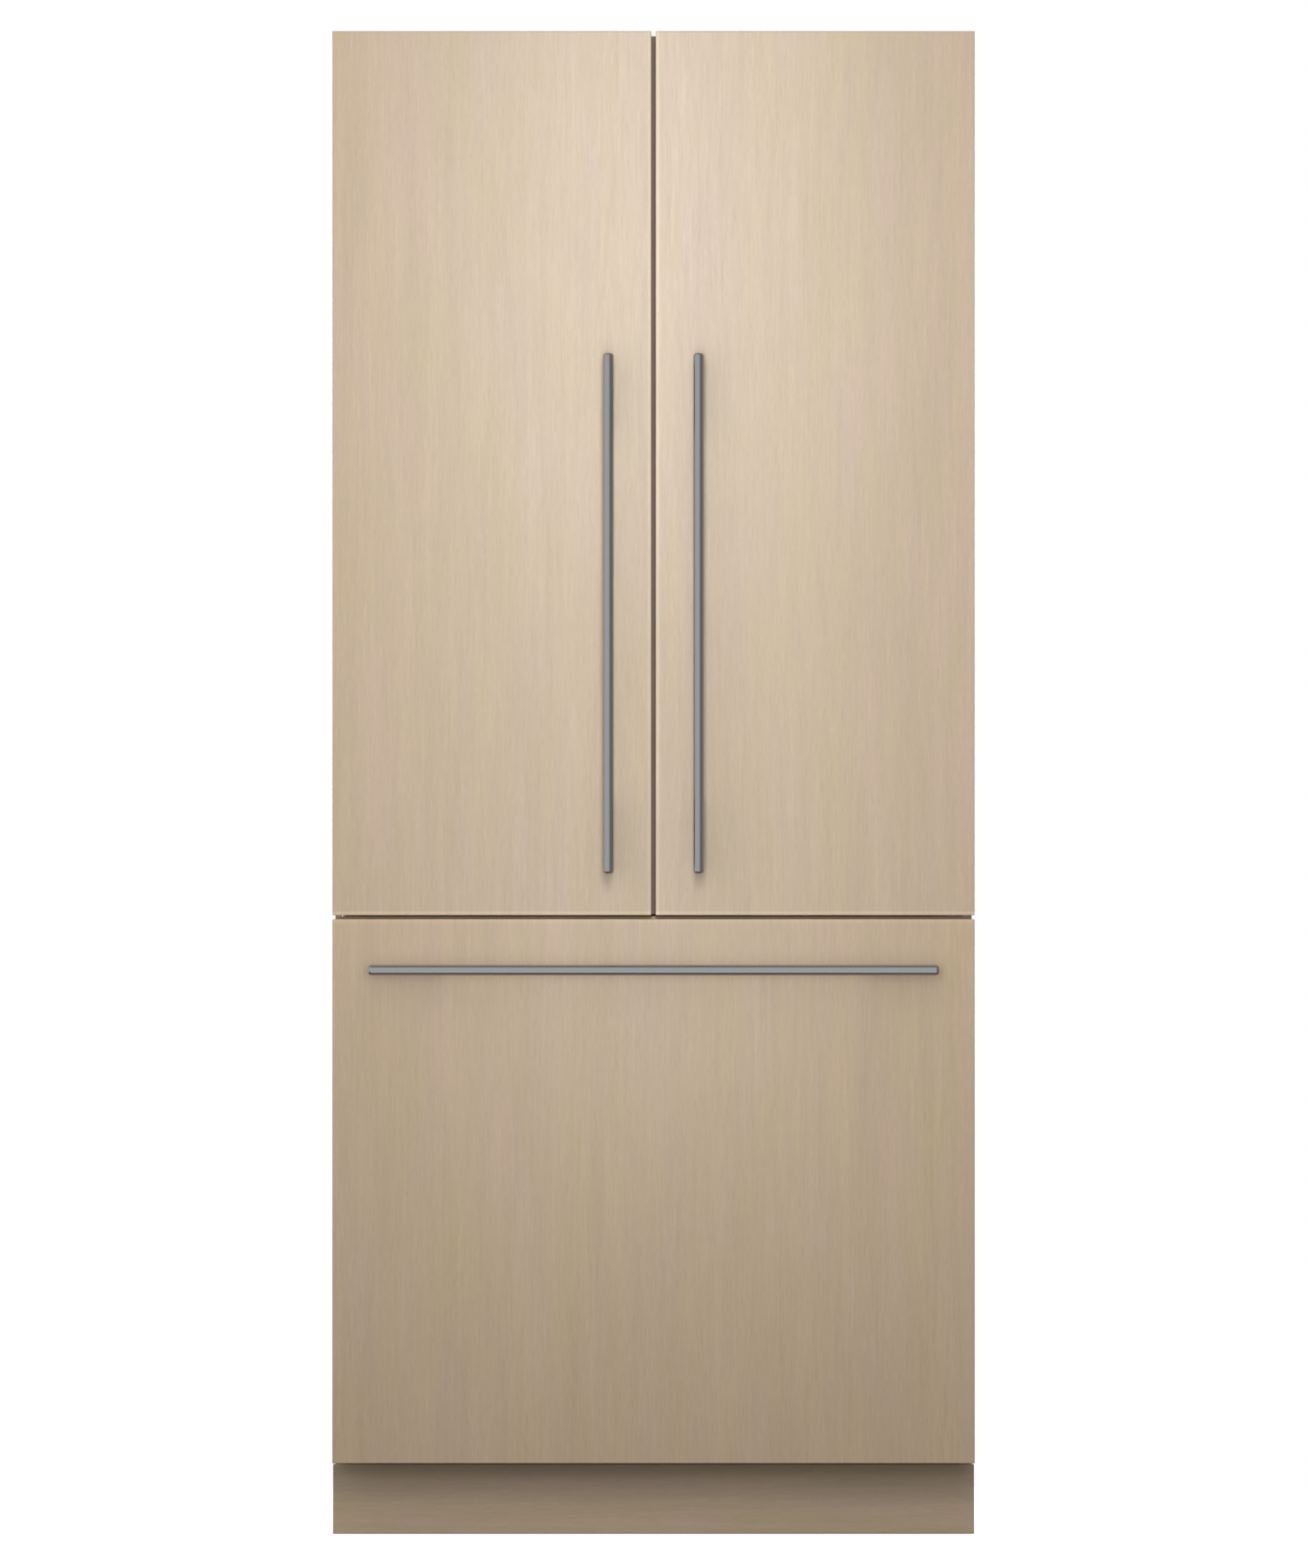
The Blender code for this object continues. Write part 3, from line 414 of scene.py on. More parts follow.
def rolled_aluminium(name):
    """Thin rolled aluminium fin stock: pale metal with straight mill lines."""
    colour = linear("C9CCCF")
    material, shader = new_material(name, colour, Metallic=1.0, Roughness=0.36)
    mill = noise(material, (60.0, 1.2, 60.0), detail=2.0)
    link(material, shade(material, colour, spread(material, mill, 0.92, 1.05)), shader.inputs["Base Color"])
    link(material, spread(material, mill, 0.30, 0.44), shader.inputs["Roughness"])
    return material


def sprayed_black_enamel(name):
    """Deep-drawn steel with a sprayed black enamel: glossy black with a little peel and dust."""
    colour = linear("1B1C1E")
    material, shader = new_material(name, colour, Roughness=0.28, IOR=1.5)
    peel = noise(material, (3.0, 3.0, 3.0), detail=2.0)
    dust = noise(material, (35.0, 35.0, 35.0), detail=4.0)
    dusty = shade(material, colour, spread(material, dust, 0.8, 1.9, 0.4, 0.8))
    link(material, dusty, shader.inputs["Base Color"])
    link(material, spread(material, dust, 0.22, 0.5), shader.inputs["Roughness"])
    link(material, bump(material, peel, 0.05, 0.4), shader.inputs["Normal"])
    return material


def foamed_polyurethane(name):
    """Polyurethane foamed in place: pale ochre, matt, with open cells where it shows."""
    colour = linear("D8BC7C")
    material, shader = new_material(name, colour, Roughness=0.9, IOR=1.45)
    cells = noise(material, (2.5, 2.5, 2.5), detail=3.0)
    skin = noise(material, (60.0, 60.0, 60.0), detail=2.0)
    tone = multiply(material, spread(material, cells, 0.86, 1.06), spread(material, skin, 0.92, 1.05))
    link(material, shade(material, colour, tone), shader.inputs["Base Color"])
    link(material, bump(material, cells, 0.6, 0.6), shader.inputs["Normal"])
    return material


def frosted_acrylic(name, glow):
    """Opal acrylic over a light strip: milky and softly lit from inside."""
    material, shader = new_material(name, linear("F6F7F4"), Roughness=0.45, IOR=1.49)
    frost = noise(material, (1.0, 1.0, 1.0), detail=1.0)
    shader.inputs["Emission Color"].default_value = (*linear("FFF6E6"), 1.0)
    shader.inputs["Emission Strength"].default_value = glow
    link(material, spread(material, frost, 0.4, 0.5), shader.inputs["Roughness"])
    return material


def black_touch_glass(name):
    """Back-painted glass over touch sensors: deep black, mirror-smooth, with faint wipe marks."""
    material, shader = new_material(name, linear("0B0C0E"), Roughness=0.06, IOR=1.52)
    wipes = noise(material, (30.0, 12.0, 30.0), detail=3.0)
    link(material, spread(material, wipes, 0.03, 0.16), shader.inputs["Roughness"])
    return material


def dress(nodes, material):
    """Gives CAD nodes a material in place of the plain one they came with."""
    for node in nodes:
        mesh = NODES[node].data
        mesh.materials.clear()
        mesh.materials.append(material)


def soften_edges(nodes, width_mm=0.8, segments=2):
    """Joins a CAD node's split corners and rounds its sharp edges, as a press or a mould leaves them."""
    for node in nodes:
        obj = NODES[node]
        weld = obj.modifiers.new("joined corners", "WELD")
        weld.merge_threshold = 0.00001
        bevel = obj.modifiers.new("worked edges", "BEVEL")
        bevel.width = width_mm * MM
        bevel.segments = segments
        bevel.limit_method = "ANGLE"
        bevel.angle_limit = math.radians(40)
        bevel.harden_normals = True
        obj.data.shade_smooth()


# ---------------------------------------------------------------- shapes


def finished_piece(name, bm, material, body, smooth_below=35):
    """Makes bm into a piece that rides on a body. Corners sharper than smooth_below degrees stay crisp."""
    bmesh.ops.recalc_face_normals(bm, faces=bm.faces)
    mesh = bpy.data.meshes.new(name)
    bm.to_mesh(mesh)
    bm.free()
    mesh.shade_smooth()
    mesh.set_sharp_from_angle(angle=math.radians(smooth_below))
    mesh.materials.append(material)
    piece = bpy.data.objects.new(name, mesh)
    bpy.context.scene.collection.objects.link(piece)
    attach(piece, body)
    return piece


def rounded_block(bm, low, high, radius=1.0 * MM, segments=2):
    """A block with rounded edges."""
    low, high = Vector(low), Vector(high)
    made = bmesh.ops.create_cube(bm, size=1.0)["verts"]
    placed = Matrix.Translation((low + high) / 2) @ Matrix.Diagonal((*(high - low), 1.0))
    bmesh.ops.transform(bm, matrix=placed, verts=made)
    edges = list({edge for vert in made for edge in vert.link_edges})
    offset = min(radius, min(high - low) * 0.45)
    bmesh.ops.bevel(bm, geom=edges, offset=offset, segments=segments, profile=0.5, affect="EDGES")


def skin_rings(bm, rings, closed=False):
    """Joins rings of points, each with the next. A ring of one point is a tip."""
    pairs = list(zip(rings, rings[1:] + rings[:1])) if closed else list(zip(rings, rings[1:]))
    count = max(len(ring) for ring in rings)
    for near, far in pairs:
        for i in range(count):
            after = i + 1
            corners = [near[i % len(near)], near[after % len(near)], far[after % len(far)], far[i % len(far)]]
            corners = list(dict.fromkeys(corners))
            if len(corners) > 2:
                bm.faces.new(corners)
    if not closed:
        for ring in (rings[0], rings[-1]):
            if len(ring) > 2:
                bm.faces.new(ring)


def turned(bm, profile, centre, axis, sides=32, outward=1):
    """Turns a profile of (radius, distance along the axis) round an axis through centre."""
    turns = {
        "X": Matrix.Rotation(math.pi / 2, 4, "Y"),
        "Y": Matrix.Rotation(-math.pi / 2, 4, "X"),
        "Z": Matrix.Identity(4),
    }
    place = Matrix.Translation(centre) @ turns[axis]
    rings = []
    for radius, along in profile:
        spokes = [2 * math.pi * i / sides for i in range(sides)] if radius > 0 else [0.0]
        rings.append([
            bm.verts.new(place @ Vector((radius * math.cos(a), radius * math.sin(a), outward * along)))
            for a in spokes
        ])
    skin_rings(bm, rings)


def mitred_ring(bm, profile, xs, zs):
    """Carries a closed profile of (inset, y) round an upright rectangle, mitred at its corners."""
    corners = ((xs[0], zs[0], 1, 1), (xs[1], zs[0], -1, 1), (xs[1], zs[1], -1, -1), (xs[0], zs[1], 1, -1))
    rings = [
        [bm.verts.new((x + dx * inset, y, z + dz * inset)) for inset, y in profile]
        for x, z, dx, dz in corners
    ]
    skin_rings(bm, rings, closed=True)


def drawn_section(bm, profile, axis, start, end):
    """Draws a closed profile out along an axis. Its points are the other two coordinates, in order."""
    index = "XYZ".index(axis)
    rings = []
    for at in (start, end):
        rings.append([bm.verts.new((*point[:index], at, *point[index:])) for point in profile])
    skin_rings(bm, rings)


def swept_tube(bm, points, radius, sides=12):
    """A round tube along a smooth path through the points."""
    path = smooth_path([Vector(point) for point in points])
    normal = (path[1] - path[0]).orthogonal()
    rings = []
    for i, point in enumerate(path):
        ahead = (path[min(i + 1, len(path) - 1)] - path[max(i - 1, 0)]).normalized()
        normal = (normal - ahead * normal.dot(ahead)).normalized()
        other = ahead.cross(normal)
        angles = [2 * math.pi * k / sides for k in range(sides)]
        rings.append([
            bm.verts.new(point + radius * (math.cos(a) * normal + math.sin(a) * other)) for a in angles
        ])
    skin_rings(bm, rings)


def smooth_path(points, steps=6):
    """Catmull-Rom points through the given ones."""
    path = []
    for i in range(len(points) - 1):
        before, here = points[max(i - 1, 0)], points[i]
        there, after = points[i + 1], points[min(i + 2, len(points) - 1)]
        for step in range(steps):
            t = step / steps
            path.append(0.5 * (
                2 * here + (there - before) * t
                + (2 * before - 5 * here + 4 * there - after) * t * t
                + (3 * here - before - 3 * there + after) * t ** 3
            ))
    return [*path, points[-1]]


def flange_screw(bm, place, axis, outward, across=5.5 * MM):
    """A hexagon head on its round flange, facing along the axis in the outward direction."""
    radius = across / 2 / math.cos(math.pi / 6)
    turned(bm, [(radius * 1.42, 0), (radius * 1.36, 0.5 * MM), (radius, 0.8 * MM)], place, axis, 20, outward)
    turned(bm, [(radius, 0), (radius, 1.7 * MM), (radius * 0.86, 2.1 * MM)], place, axis, 6, outward)


def pan_screw(bm, place, axis, outward, radius=3.2 * MM):
    """A low domed head with a socket in its middle."""
    profile = [(1.0, 0.0), (0.97, 0.22), (0.82, 0.42), (0.55, 0.55), (0.42, 0.58), (0.36, 0.30), (0.0, 0.26)]
    turned(bm, [(r * radius, h * radius) for r, h in profile], place, axis, 20, outward)


def spaced(start, end, count):
    """Evenly spaced values from start to end, with both of them among the count."""
    return [start + (end - start) * i / (count - 1) for i in range(count)]


# ---------------------------------------------------------------- stage


def make_camera(settings):
    """A long lens far off, level with the object's middle, so that upright lines stay upright."""
    high = CAD_BOUNDS[1]
    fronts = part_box("drawer_panel")[0].y
    data = bpy.data.cameras.new("camera")
    data.sensor_width = 36.0
    data.lens = data.sensor_width * settings.camera_distance / settings.view_height
    data.clip_end = 200.0
    camera = bpy.data.objects.new("camera", data)
    bpy.context.scene.collection.objects.link(camera)
    # The view is centred a hair to the right of the middle and a hair below it.
    camera.location = (0.7 * MM, fronts - settings.camera_distance, high.z / 2 - 0.5 * MM)
    camera.rotation_euler = (math.pi / 2, 0.0, 0.0)
    bpy.context.scene.camera = camera


def area_light(name, location, target, size, power):
    """A rectangular softbox of this width and height, facing its target."""
    data = bpy.data.lights.new(name, "AREA")
    data.shape = "RECTANGLE"
    data.size, data.size_y = size
    data.energy = power
    light = bpy.data.objects.new(name, data)
    light.location = location
    light.rotation_mode = "QUATERNION"
    light.rotation_quaternion = (Vector(target) - Vector(location)).to_track_quat("-Z", "Y")
    bpy.context.scene.collection.objects.link(light)
    return light


def studio_floor():
    """A painted studio floor: a middle grey that reflects little light, with a glow only the camera sees."""
    bm = bmesh.new()
    bmesh.ops.create_grid(bm, x_segments=8, y_segments=8, size=FLOOR_REACH)
    mesh = bpy.data.meshes.new("studio_floor")
    bm.to_mesh(mesh)
    bm.free()
    floor = bpy.data.objects.new("studio_floor", mesh)
    bpy.context.scene.collection.objects.link(floor)
    material, shader = new_material("studio_floor_paint", linear("767676"), Roughness=0.8)
    speck = noise(material, (3.0, 3.0, 3.0), detail=2.0)
    link(material, spread(material, speck, 0.76, 0.84), shader.inputs["Roughness"])
    glow = add_node(material, "ShaderNodeEmission", Strength=0.9)
    path = add_node(material, "ShaderNodeLightPath")
    seen = add_node(material, "ShaderNodeAddShader", i0=shader.outputs[0], i1=glow.outputs[0])
    mixed = add_node(
        material, "ShaderNodeMixShader",
        i0=path.outputs["Is Camera Ray"], i1=shader.outputs[0], i2=seen.outputs[0],
    )
    link(material, mixed.outputs[0], material.node_tree.nodes["Material Output"].inputs["Surface"])
    floor.data.materials.append(material)


def studio_world(strength):
    """White to the camera. What it lights sees a room bright on the left, and dim on the right and above."""
    world = bpy.data.worlds.new("studio")
    bpy.context.scene.world = world
    world.use_nodes = True
    seen = world.node_tree.nodes["Background"]
    seen.inputs["Color"].default_value = (1.0, 1.0, 1.0, 1.0)
    seen.inputs["Strength"].default_value = 1.0
    direction = add_node(world, "ShaderNodeTexCoord").outputs["Generated"]
    axes = add_node(world, "ShaderNodeSeparateXYZ", Vector=direction)
    sideways = spread(world, axes.outputs["X"], 1.60 * strength, 0.58 * strength, 0.28, 0.48)
    overhead = spread(world, axes.outputs["Z"], 1.0, 0.35, 0.80, 0.97)
    brightness = multiply(world, sideways, overhead)
    room = add_node(world, "ShaderNodeBackground", Color=(1.0, 0.99, 0.97, 1.0), Strength=brightness)
    path = add_node(world, "ShaderNodeLightPath")
    chosen = add_node(
        world, "ShaderNodeMixShader", i0=path.outputs["Is Camera Ray"], i1=room.outputs[0], i2=seen.outputs[0]
    )
    link(world, chosen.outputs[0], world.node_tree.nodes["World Output"].inputs["Surface"])


def choose_pieces(light, pieces, state):
    """The pieces a light reaches: only these with INCLUDE, all but these with EXCLUDE, as a flag does."""
    chosen = bpy.data.collections.new(f"reached_by_{light.name}")
    for piece in pieces:
        chosen.objects.link(piece)
    for entry in chosen.collection_objects:
        entry.light_linking.link_state = state
    return chosen


# ---------------------------------------------------------------- the pieces


def bar_handle(node, body, upright, diameter, metal):
    """A round bar with domed ends on two flat webs, each with a thin foot against the panel."""
    low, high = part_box(node)
    axis, along = ("Z", 2) if upright else ("X", 0)
    radius = diameter / 2
    middle = (low + high) / 2
    centre = Vector((middle.x, low.y + radius, middle.z))
    half = (high[along] - low[along]) / 2
    dome = 4.5 * MM
    arc = [
        (radius - dome * (1 - math.sin(a)), half - dome * (1 - math.cos(a)))
        for a in spaced(math.pi / 2, 0, 7)
    ]
    bm = bmesh.new()
    turned(bm, [(0, -half), *[(r, -h) for r, h in arc[::-1]], *arc, (0, half)], centre, axis, 64)
    for end in (-1, 1):
        reach = sorted((centre[along] + end * (half - 3.5 * MM), centre[along] + end * (half - WEB_LENGTH)))
        for half_width, front, back in ((4.0, centre.y, high.y), (5.2, high.y - 1.6 * MM, high.y)):
            thin = half_width * MM
            corners = [[centre.x - thin, front, centre.z - thin], [centre.x + thin, back, centre.z + thin]]
            for corner, at in zip(corners, reach):
                corner[along] = at
            rounded_block(bm, *corners, radius=0.8 * MM)
    piece = finished_piece(f"{node}_bar", bm, metal, body)
    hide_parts(node)


def bellows_gasket(node, body, rubber):
    """A magnetic seal: a foot that presses into the door, a folded bellows, and a magnet pocket."""
    low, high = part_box(node)
    depth = high.y - low.y
    outline = (
        (1.0, 0.0), (17.0, 0.0), (17.0, 0.10), (14.0, 0.14), (13.4, 0.24), (16.2, 0.40),
        (16.6, 0.47), (13.4, 0.60), (13.6, 0.68), (17.2, 0.74), (18.0, 0.82), (17.8, 0.95),
        (16.8, 1.0), (1.2, 1.0), (0.2, 0.95), (0.0, 0.82), (0.8, 0.74), (4.4, 0.68),
        (4.6, 0.60), (1.4, 0.47), (1.8, 0.40), (4.6, 0.24), (4.0, 0.14), (1.0, 0.10),
    )
    bm = bmesh.new()
    profile = [(inset * MM, low.y + share * depth) for inset, share in outline]
    mitred_ring(bm, profile, (low.x, high.x), (low.z, high.z))
    piece = finished_piece(f"{node}_bellows", bm, rubber, body, 50)
    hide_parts(node)


def gap_lips(rubber, pale_rubber):
    """Soft lips that close the view between the doors, and between the doors and the drawer."""
    board_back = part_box("left_door_panel")[1].y
    low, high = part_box("left_door_shell")
    across = (
        (-0.4, 4.0), (3.0, 2.5), (11.0, 4.0), (12.0, 5.0), (11.0, 6.0), (3.0, 7.0), (1.5, 15.0), (-0.4, 15.0)
    )
    bm = bmesh.new()
    profile = [(high.x + x * MM, board_back + y * MM) for x, y in across]
    drawn_section(bm, profile, "Z", low.z - 3.0 * MM, high.z - 0.5 * MM)
    finished_piece("left_door_centre_lip", bm, rubber, "left_door", 60)
    low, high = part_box("drawer_shell")
    upward = (
        (0.8, -0.4), (0.8, 11.4), (1.8, 12.8), (3.0, 12.4), (4.0, 4.0), (7.0, 2.0), (9.0, 1.6), (9.4, -0.4)
    )
    bm = bmesh.new()
    profile = [(board_back + y * MM, high.z + z * MM) for y, z in upward]
    drawn_section(bm, profile, "X", low.x + 1.0 * MM, high.x - 1.0 * MM)
    finished_piece("drawer_top_lip", bm, pale_rubber, "freezer_drawer", 60)


def panel_brackets(side, label, steel):
    """Brackets and bolts on the door's top edge that hold and adjust the wood panel."""
    shell_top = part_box(f"{label}_door_shell")[1].z
    board_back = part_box(f"{label}_door_panel")[1].y
    top = shell_top + 1.6 * MM
    bm = bmesh.new()
    for x in spaced(side * 0.090, side * 0.360, 3):
        near, far = board_back + 0.8 * MM, board_back + 41 * MM
        rounded_block(bm, (x - 20 * MM, near, shell_top), (x + 20 * MM, far, top), 0.5 * MM)
        for offset in (-11 * MM, 11 * MM):
            flange_screw(bm, (x + offset, board_back + 30 * MM, top), "Z", 1, 5.5 * MM)
    finished_piece(f"{label}_door_panel_brackets", bm, steel, f"{label}_door")


def bin_trim(label, number, metal):
    """A satin band clipped along the front of a door bin."""
    low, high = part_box(f"{label}_door_bin_{number}")
    bm = bmesh.new()
    top = high.z - 4 * MM
    left, right = low.x + 15 * MM, high.x - 15 * MM
    rounded_block(bm, (left, high.y - 4.4 * MM, top - 20 * MM), (right, high.y - 1.6 * MM, top), 1.2 * MM, 3)
    finished_piece(f"{label}_door_bin_{number}_band", bm, metal, f"{label}_door")


def mullion_details(steel):
    """The pressed rib along the flip mullion's back, and a screw at each end."""
    low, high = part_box("flip_mullion")
    bm = bmesh.new()
    near, far = high.y - 0.5 * MM, high.y + 0.8 * MM
    rounded_block(bm, (-0.021, near, low.z + 0.03), (0.021, far, high.z - 0.03), 0.6 * MM)
    for z in spaced(low.z + 0.015, high.z - 0.015, 2):
        pan_screw(bm, (0.0, high.y, z), "Y", 1, 2.6 * MM)
    finished_piece("flip_mullion_rib", bm, steel, "flip_mullion")


def back_panel_legs(steel):
    """The back panel's legs down both sides of the machine bay, which the rear cover is screwed to."""
    low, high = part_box("back_panel")
    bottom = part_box("cabinet_core")[0].z
    bm = bmesh.new()
    for side in SIDES.values():
        inner, outer = sorted((side * (high.x - 14 * MM), side * high.x))
        rounded_block(bm, (inner, low.y, bottom), (outer, high.y, low.z), 0.15 * MM, 1)
    finished_piece("back_panel_legs", bm, steel, "cabinet")


def sheet_metal_swages(steel, coat):
    """Long pressed ribs that stiffen the back and the top, and the screws round the back."""
    low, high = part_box("back_panel")
    bm = bmesh.new()
    near, far = high.y - 0.4 * MM, high.y + 1.3 * MM
    for x in spaced(-0.34, 0.34, 5):
        rounded_block(bm, (x - 11 * MM, near, low.z + 0.08), (x + 11 * MM, far, high.z - 0.08), 1.2 * MM, 4)
    finished_piece("back_panel_ribs", bm, steel, "cabinet", 50)
    bm = bmesh.new()
    for x in (low.x + 0.010, high.x - 0.010):
        for z in spaced(low.z + 0.020, high.z - 0.020, 10):
            flange_screw(bm, (x, high.y, z), "Y", 1)
    for x in spaced(low.x + 0.10, high.x - 0.10, 5):
        flange_screw(bm, (x, high.y, high.z - 0.010), "Y", 1)
    cover_low, cover_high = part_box("rear_cover")
    for z in (cover_low.z + 0.010, cover_high.z - 0.010):
        for x in spaced(cover_low.x + 0.020, cover_high.x - 0.020, 6):
            flange_screw(bm, (x, cover_high.y, z), "Y", 1)
    finished_piece("back_screws", bm, steel, "cabinet")
    low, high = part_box("outer_wrapper")
    bm = bmesh.new()
    under, over = high.z - 0.4 * MM, high.z + 1.6 * MM
    for x in spaced(-0.27, 0.27, 3):
        rounded_block(bm, (x - 14 * MM, -0.15, under), (x + 14 * MM, 0.28, over), 1.4 * MM, 4)
    finished_piece("top_ribs", bm, coat, "cabinet", 50)


def hinge_screws(level, label, side, steel):
    """The screws that hold a hinge plate, and the cap over the top hinge's pin."""
    low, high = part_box(f"hinge_{level}_{label}")
    flange_front = high.y - 2.0 * MM
    bm = bmesh.new()
    z = low.z + 7.4 * MM if level == "top" else low.z + 17 * MM
    for offset in (-16 * MM, 7 * MM):
        pan_screw(bm, (side * (HINGE_X + offset), flange_front, z), "Y", -1, 2.4 * MM)
    if level == "top":
        cap = [(r * MM, h * MM) for r, h in ((6.2, 0), (6.0, 0.9), (4.6, 1.8), (2.4, 2.3), (0, 2.4))]
        turned(bm, cap, (side * HINGE_X, HINGE_Y, high.z), "Z", 32)
    finished_piece(f"hinge_{level}_{label}_screws", bm, steel, "cabinet")


def inlet_blades(steel):
    """The three blades inside the power inlet."""
    low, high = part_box("power_inlet")
    middle = (low + high) / 2
    root, tip = 0.3219, 0.3323  # just past the ends of the blades in the CAD
    bm = bmesh.new()
    for x in spaced(middle.x - 9 * MM, middle.x + 9 * MM, 3):
        corner = (x - 1.15 * MM, root, middle.z - 3.1 * MM)
        rounded_block(bm, corner, (x + 1.15 * MM, tip, middle.z + 3.1 * MM), 0.4 * MM)
    finished_piece("power_inlet_blades", bm, steel, "cabinet")


def compressor_fittings(enamel, plastic, copper, rubber):
    """The can's welded seam, its terminal cover, rubber mounts, pipes and drier."""
    low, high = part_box("compressor")
    x, y = (low.x + high.x) / 2, (low.y + high.y) / 2
    bm = bmesh.new()
    seam = [(88, 183), (93.5, 184), (94.5, 186), (94.5, 189), (93.5, 191), (88, 192)]
    turned(bm, [(r * MM, h * MM) for r, h in seam], (x, y, 0.0), "Z", 64)
    finished_piece("compressor_seam", bm, enamel, "cabinet")
    bm = bmesh.new()
    rounded_block(bm, (x - 0.1045, y - 0.030, 0.142), (x - 0.082, y + 0.030, 0.178), 3 * MM, 3)
    rounded_block(bm, (x - 0.1052, y - 0.004, 0.146), (x - 0.100, y + 0.004, 0.174), 0.8 * MM)
    finished_piece("compressor_terminal_cover", bm, plastic, "cabinet")
    bm = bmesh.new()
    for dx in (-0.085, 0.085):
        for dy in (-0.060, 0.060):
            bush = [(11.5, 0.2), (13, 1.5), (13, 3.2), (9, 4.2), (9, 5.4), (12, 8.4), (11, 12.0), (4, 12.6)]
            turned(bm, [(r * MM, h * MM) for r, h in bush], (x + dx, y + dy, low.z), "Z", 24)
    finished_piece("compressor_rubber_mounts", bm, rubber, "cabinet")
    bm = bmesh.new()
    swept_tube(bm, [
        (x + 0.070, y - 0.030, 0.215), (x + 0.100, y - 0.055, 0.225), (-0.075, 0.115, 0.245),
        (-0.050, 0.109, 0.250), (0.000, 0.109, 0.250), (0.060, 0.110, 0.235),
        (0.095, 0.128, 0.190), (0.110, 0.152, 0.166),
    ], 3.0 * MM)
    swept_tube(bm, [
        (x + 0.070, y + 0.035, 0.205), (x + 0.100, y + 0.058, 0.215), (x + 0.112, y + 0.068, 0.250),
        (x + 0.112, y + 0.066, 0.300), (x + 0.112, y + 0.064, 0.3448),
    ], 4.0 * MM)
    swept_tube(bm, [
        (x + 0.075, y, 0.150), (x + 0.098, y + 0.002, 0.150), (x + 0.112, y + 0.003, 0.166)
    ], 3.0 * MM)
    drier = [(3.2, -32), (4.0, -28), (7.4, -22), (7.4, 22), (4.0, 28), (3.2, 32)]
    turned(bm, [(r * MM, h * MM) for r, h in drier], (-0.025, 0.109, 0.250), "X", 24)
    finished_piece("compressor_pipes_and_drier", bm, copper, "cabinet", 60)


def condenser_fins(metal):
    """Thin plates across the condenser's tubes. Real ones are closer than 2 mm; these are 6 mm apart."""
    low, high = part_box("condenser_coil")
    left, right = low.x - 1 * MM, high.x + 1 * MM
    under, over = low.z + 1 * MM, high.z - 1 * MM
    bm = bmesh.new()
    for y in spaced(0.162, 0.268, 19):
        rounded_block(bm, (left, y - 0.2 * MM, under), (right, y + 0.2 * MM, over), 0.1 * MM, 1)
    finished_piece("condenser_fins", bm, metal, "cabinet")


def shelf_trims(node, plastic):
    """Moulded rails along a glass shelf's front and back edges."""
    low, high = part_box(node)
    thick = (high.z - low.z) / MM
    outline = (
        (-3.0, -3.0), (-4.5, -1.5), (-4.5, thick + 1.0), (-3.0, thick + 2.5), (6.0, thick + 1.8),
        (6.5, thick + 0.1), (0.0, thick + 0.1), (0.0, -0.1), (8.0, -0.1), (8.5, -2.0), (8.0, -3.0),
    )
    bm = bmesh.new()
    front = [(low.y + y * MM, low.z + z * MM) for y, z in outline]
    back = [(high.y - y * 0.5 * MM, low.z + z * MM) for y, z in outline]
    for profile in (front, back):
        drawn_section(bm, profile, "X", low.x + 0.8 * MM, high.x - 0.8 * MM)
    finished_piece(f"{node}_rails", bm, plastic, "cabinet", 60)


def duct_grilles(plastic):
    """A raised frame with upright fins round each air outlet."""
    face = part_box("air_duct")[0].y
    bottoms = [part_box(node)[0].z for node in ("crisper_cover", "shelf_1", "shelf_2", "shelf_3")]
    frame_bars = ((-30, -10, 30, -6), (-30, 6, 30, 10), (-30, -10, -25, 10), (25, -10, 30, 10))
    bm = bmesh.new()
    for bottom in bottoms:
        for side in SIDES.values():
            outlet = Vector((side * 0.045, face, bottom + 0.106))
            for x0, z0, x1, z1 in frame_bars:
                near, far = Vector((x0, -1.2, z0)) * MM, Vector((x1, 0.3, z1)) * MM
                rounded_block(bm, outlet + near, outlet + far, 0.5 * MM)
            for x in spaced(-20, 20, 6):
                near, far = Vector((x - 0.6, -0.6, -7)) * MM, Vector((x + 0.6, 5, 7)) * MM
                rounded_block(bm, outlet + near, outlet + far, 0.3 * MM, 1)
    finished_piece("air_duct_grilles", bm, plastic, "cabinet")


def touch_marks(ink):
    """Plain marks for the touch control: less, more, a dial ring, a cold star and three dots."""
    low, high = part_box("control_panel")
    front, z = low.y - 0.12 * MM, (low.z + high.z) / 2
    bm = bmesh.new()

    def bar(x, dz, width, height):
        """A flat mark round a point, in millimetres from the panel's middle."""
        left, under = (x - width / 2) * MM, z + (dz - height / 2) * MM
        far = (left + width * MM, front + 0.4 * MM, under + height * MM)
        rounded_block(bm, (left, front, under), far, 0.1 * MM, 1)

    bar(-80, 0, 5.0, 0.8)
    bar(-50, 0, 5.0, 0.8)
    bar(-50, 0, 0.8, 5.0)
    for i in range(24):
        angle = 2 * math.pi * i / 24
        bar(3.0 * math.cos(angle), 3.0 * math.sin(angle), 0.9, 0.9)
    for i in range(3):
        angle = math.pi * i / 3
        for step in spaced(-2.8, 2.8, 9):
            bar(50 + step * math.cos(angle), step * math.sin(angle), 0.6, 0.6)
    for x in (75, 80, 85):
        bar(x, 0, 1.4, 1.4)
    finished_piece("control_panel_marks", bm, ink, "cabinet")


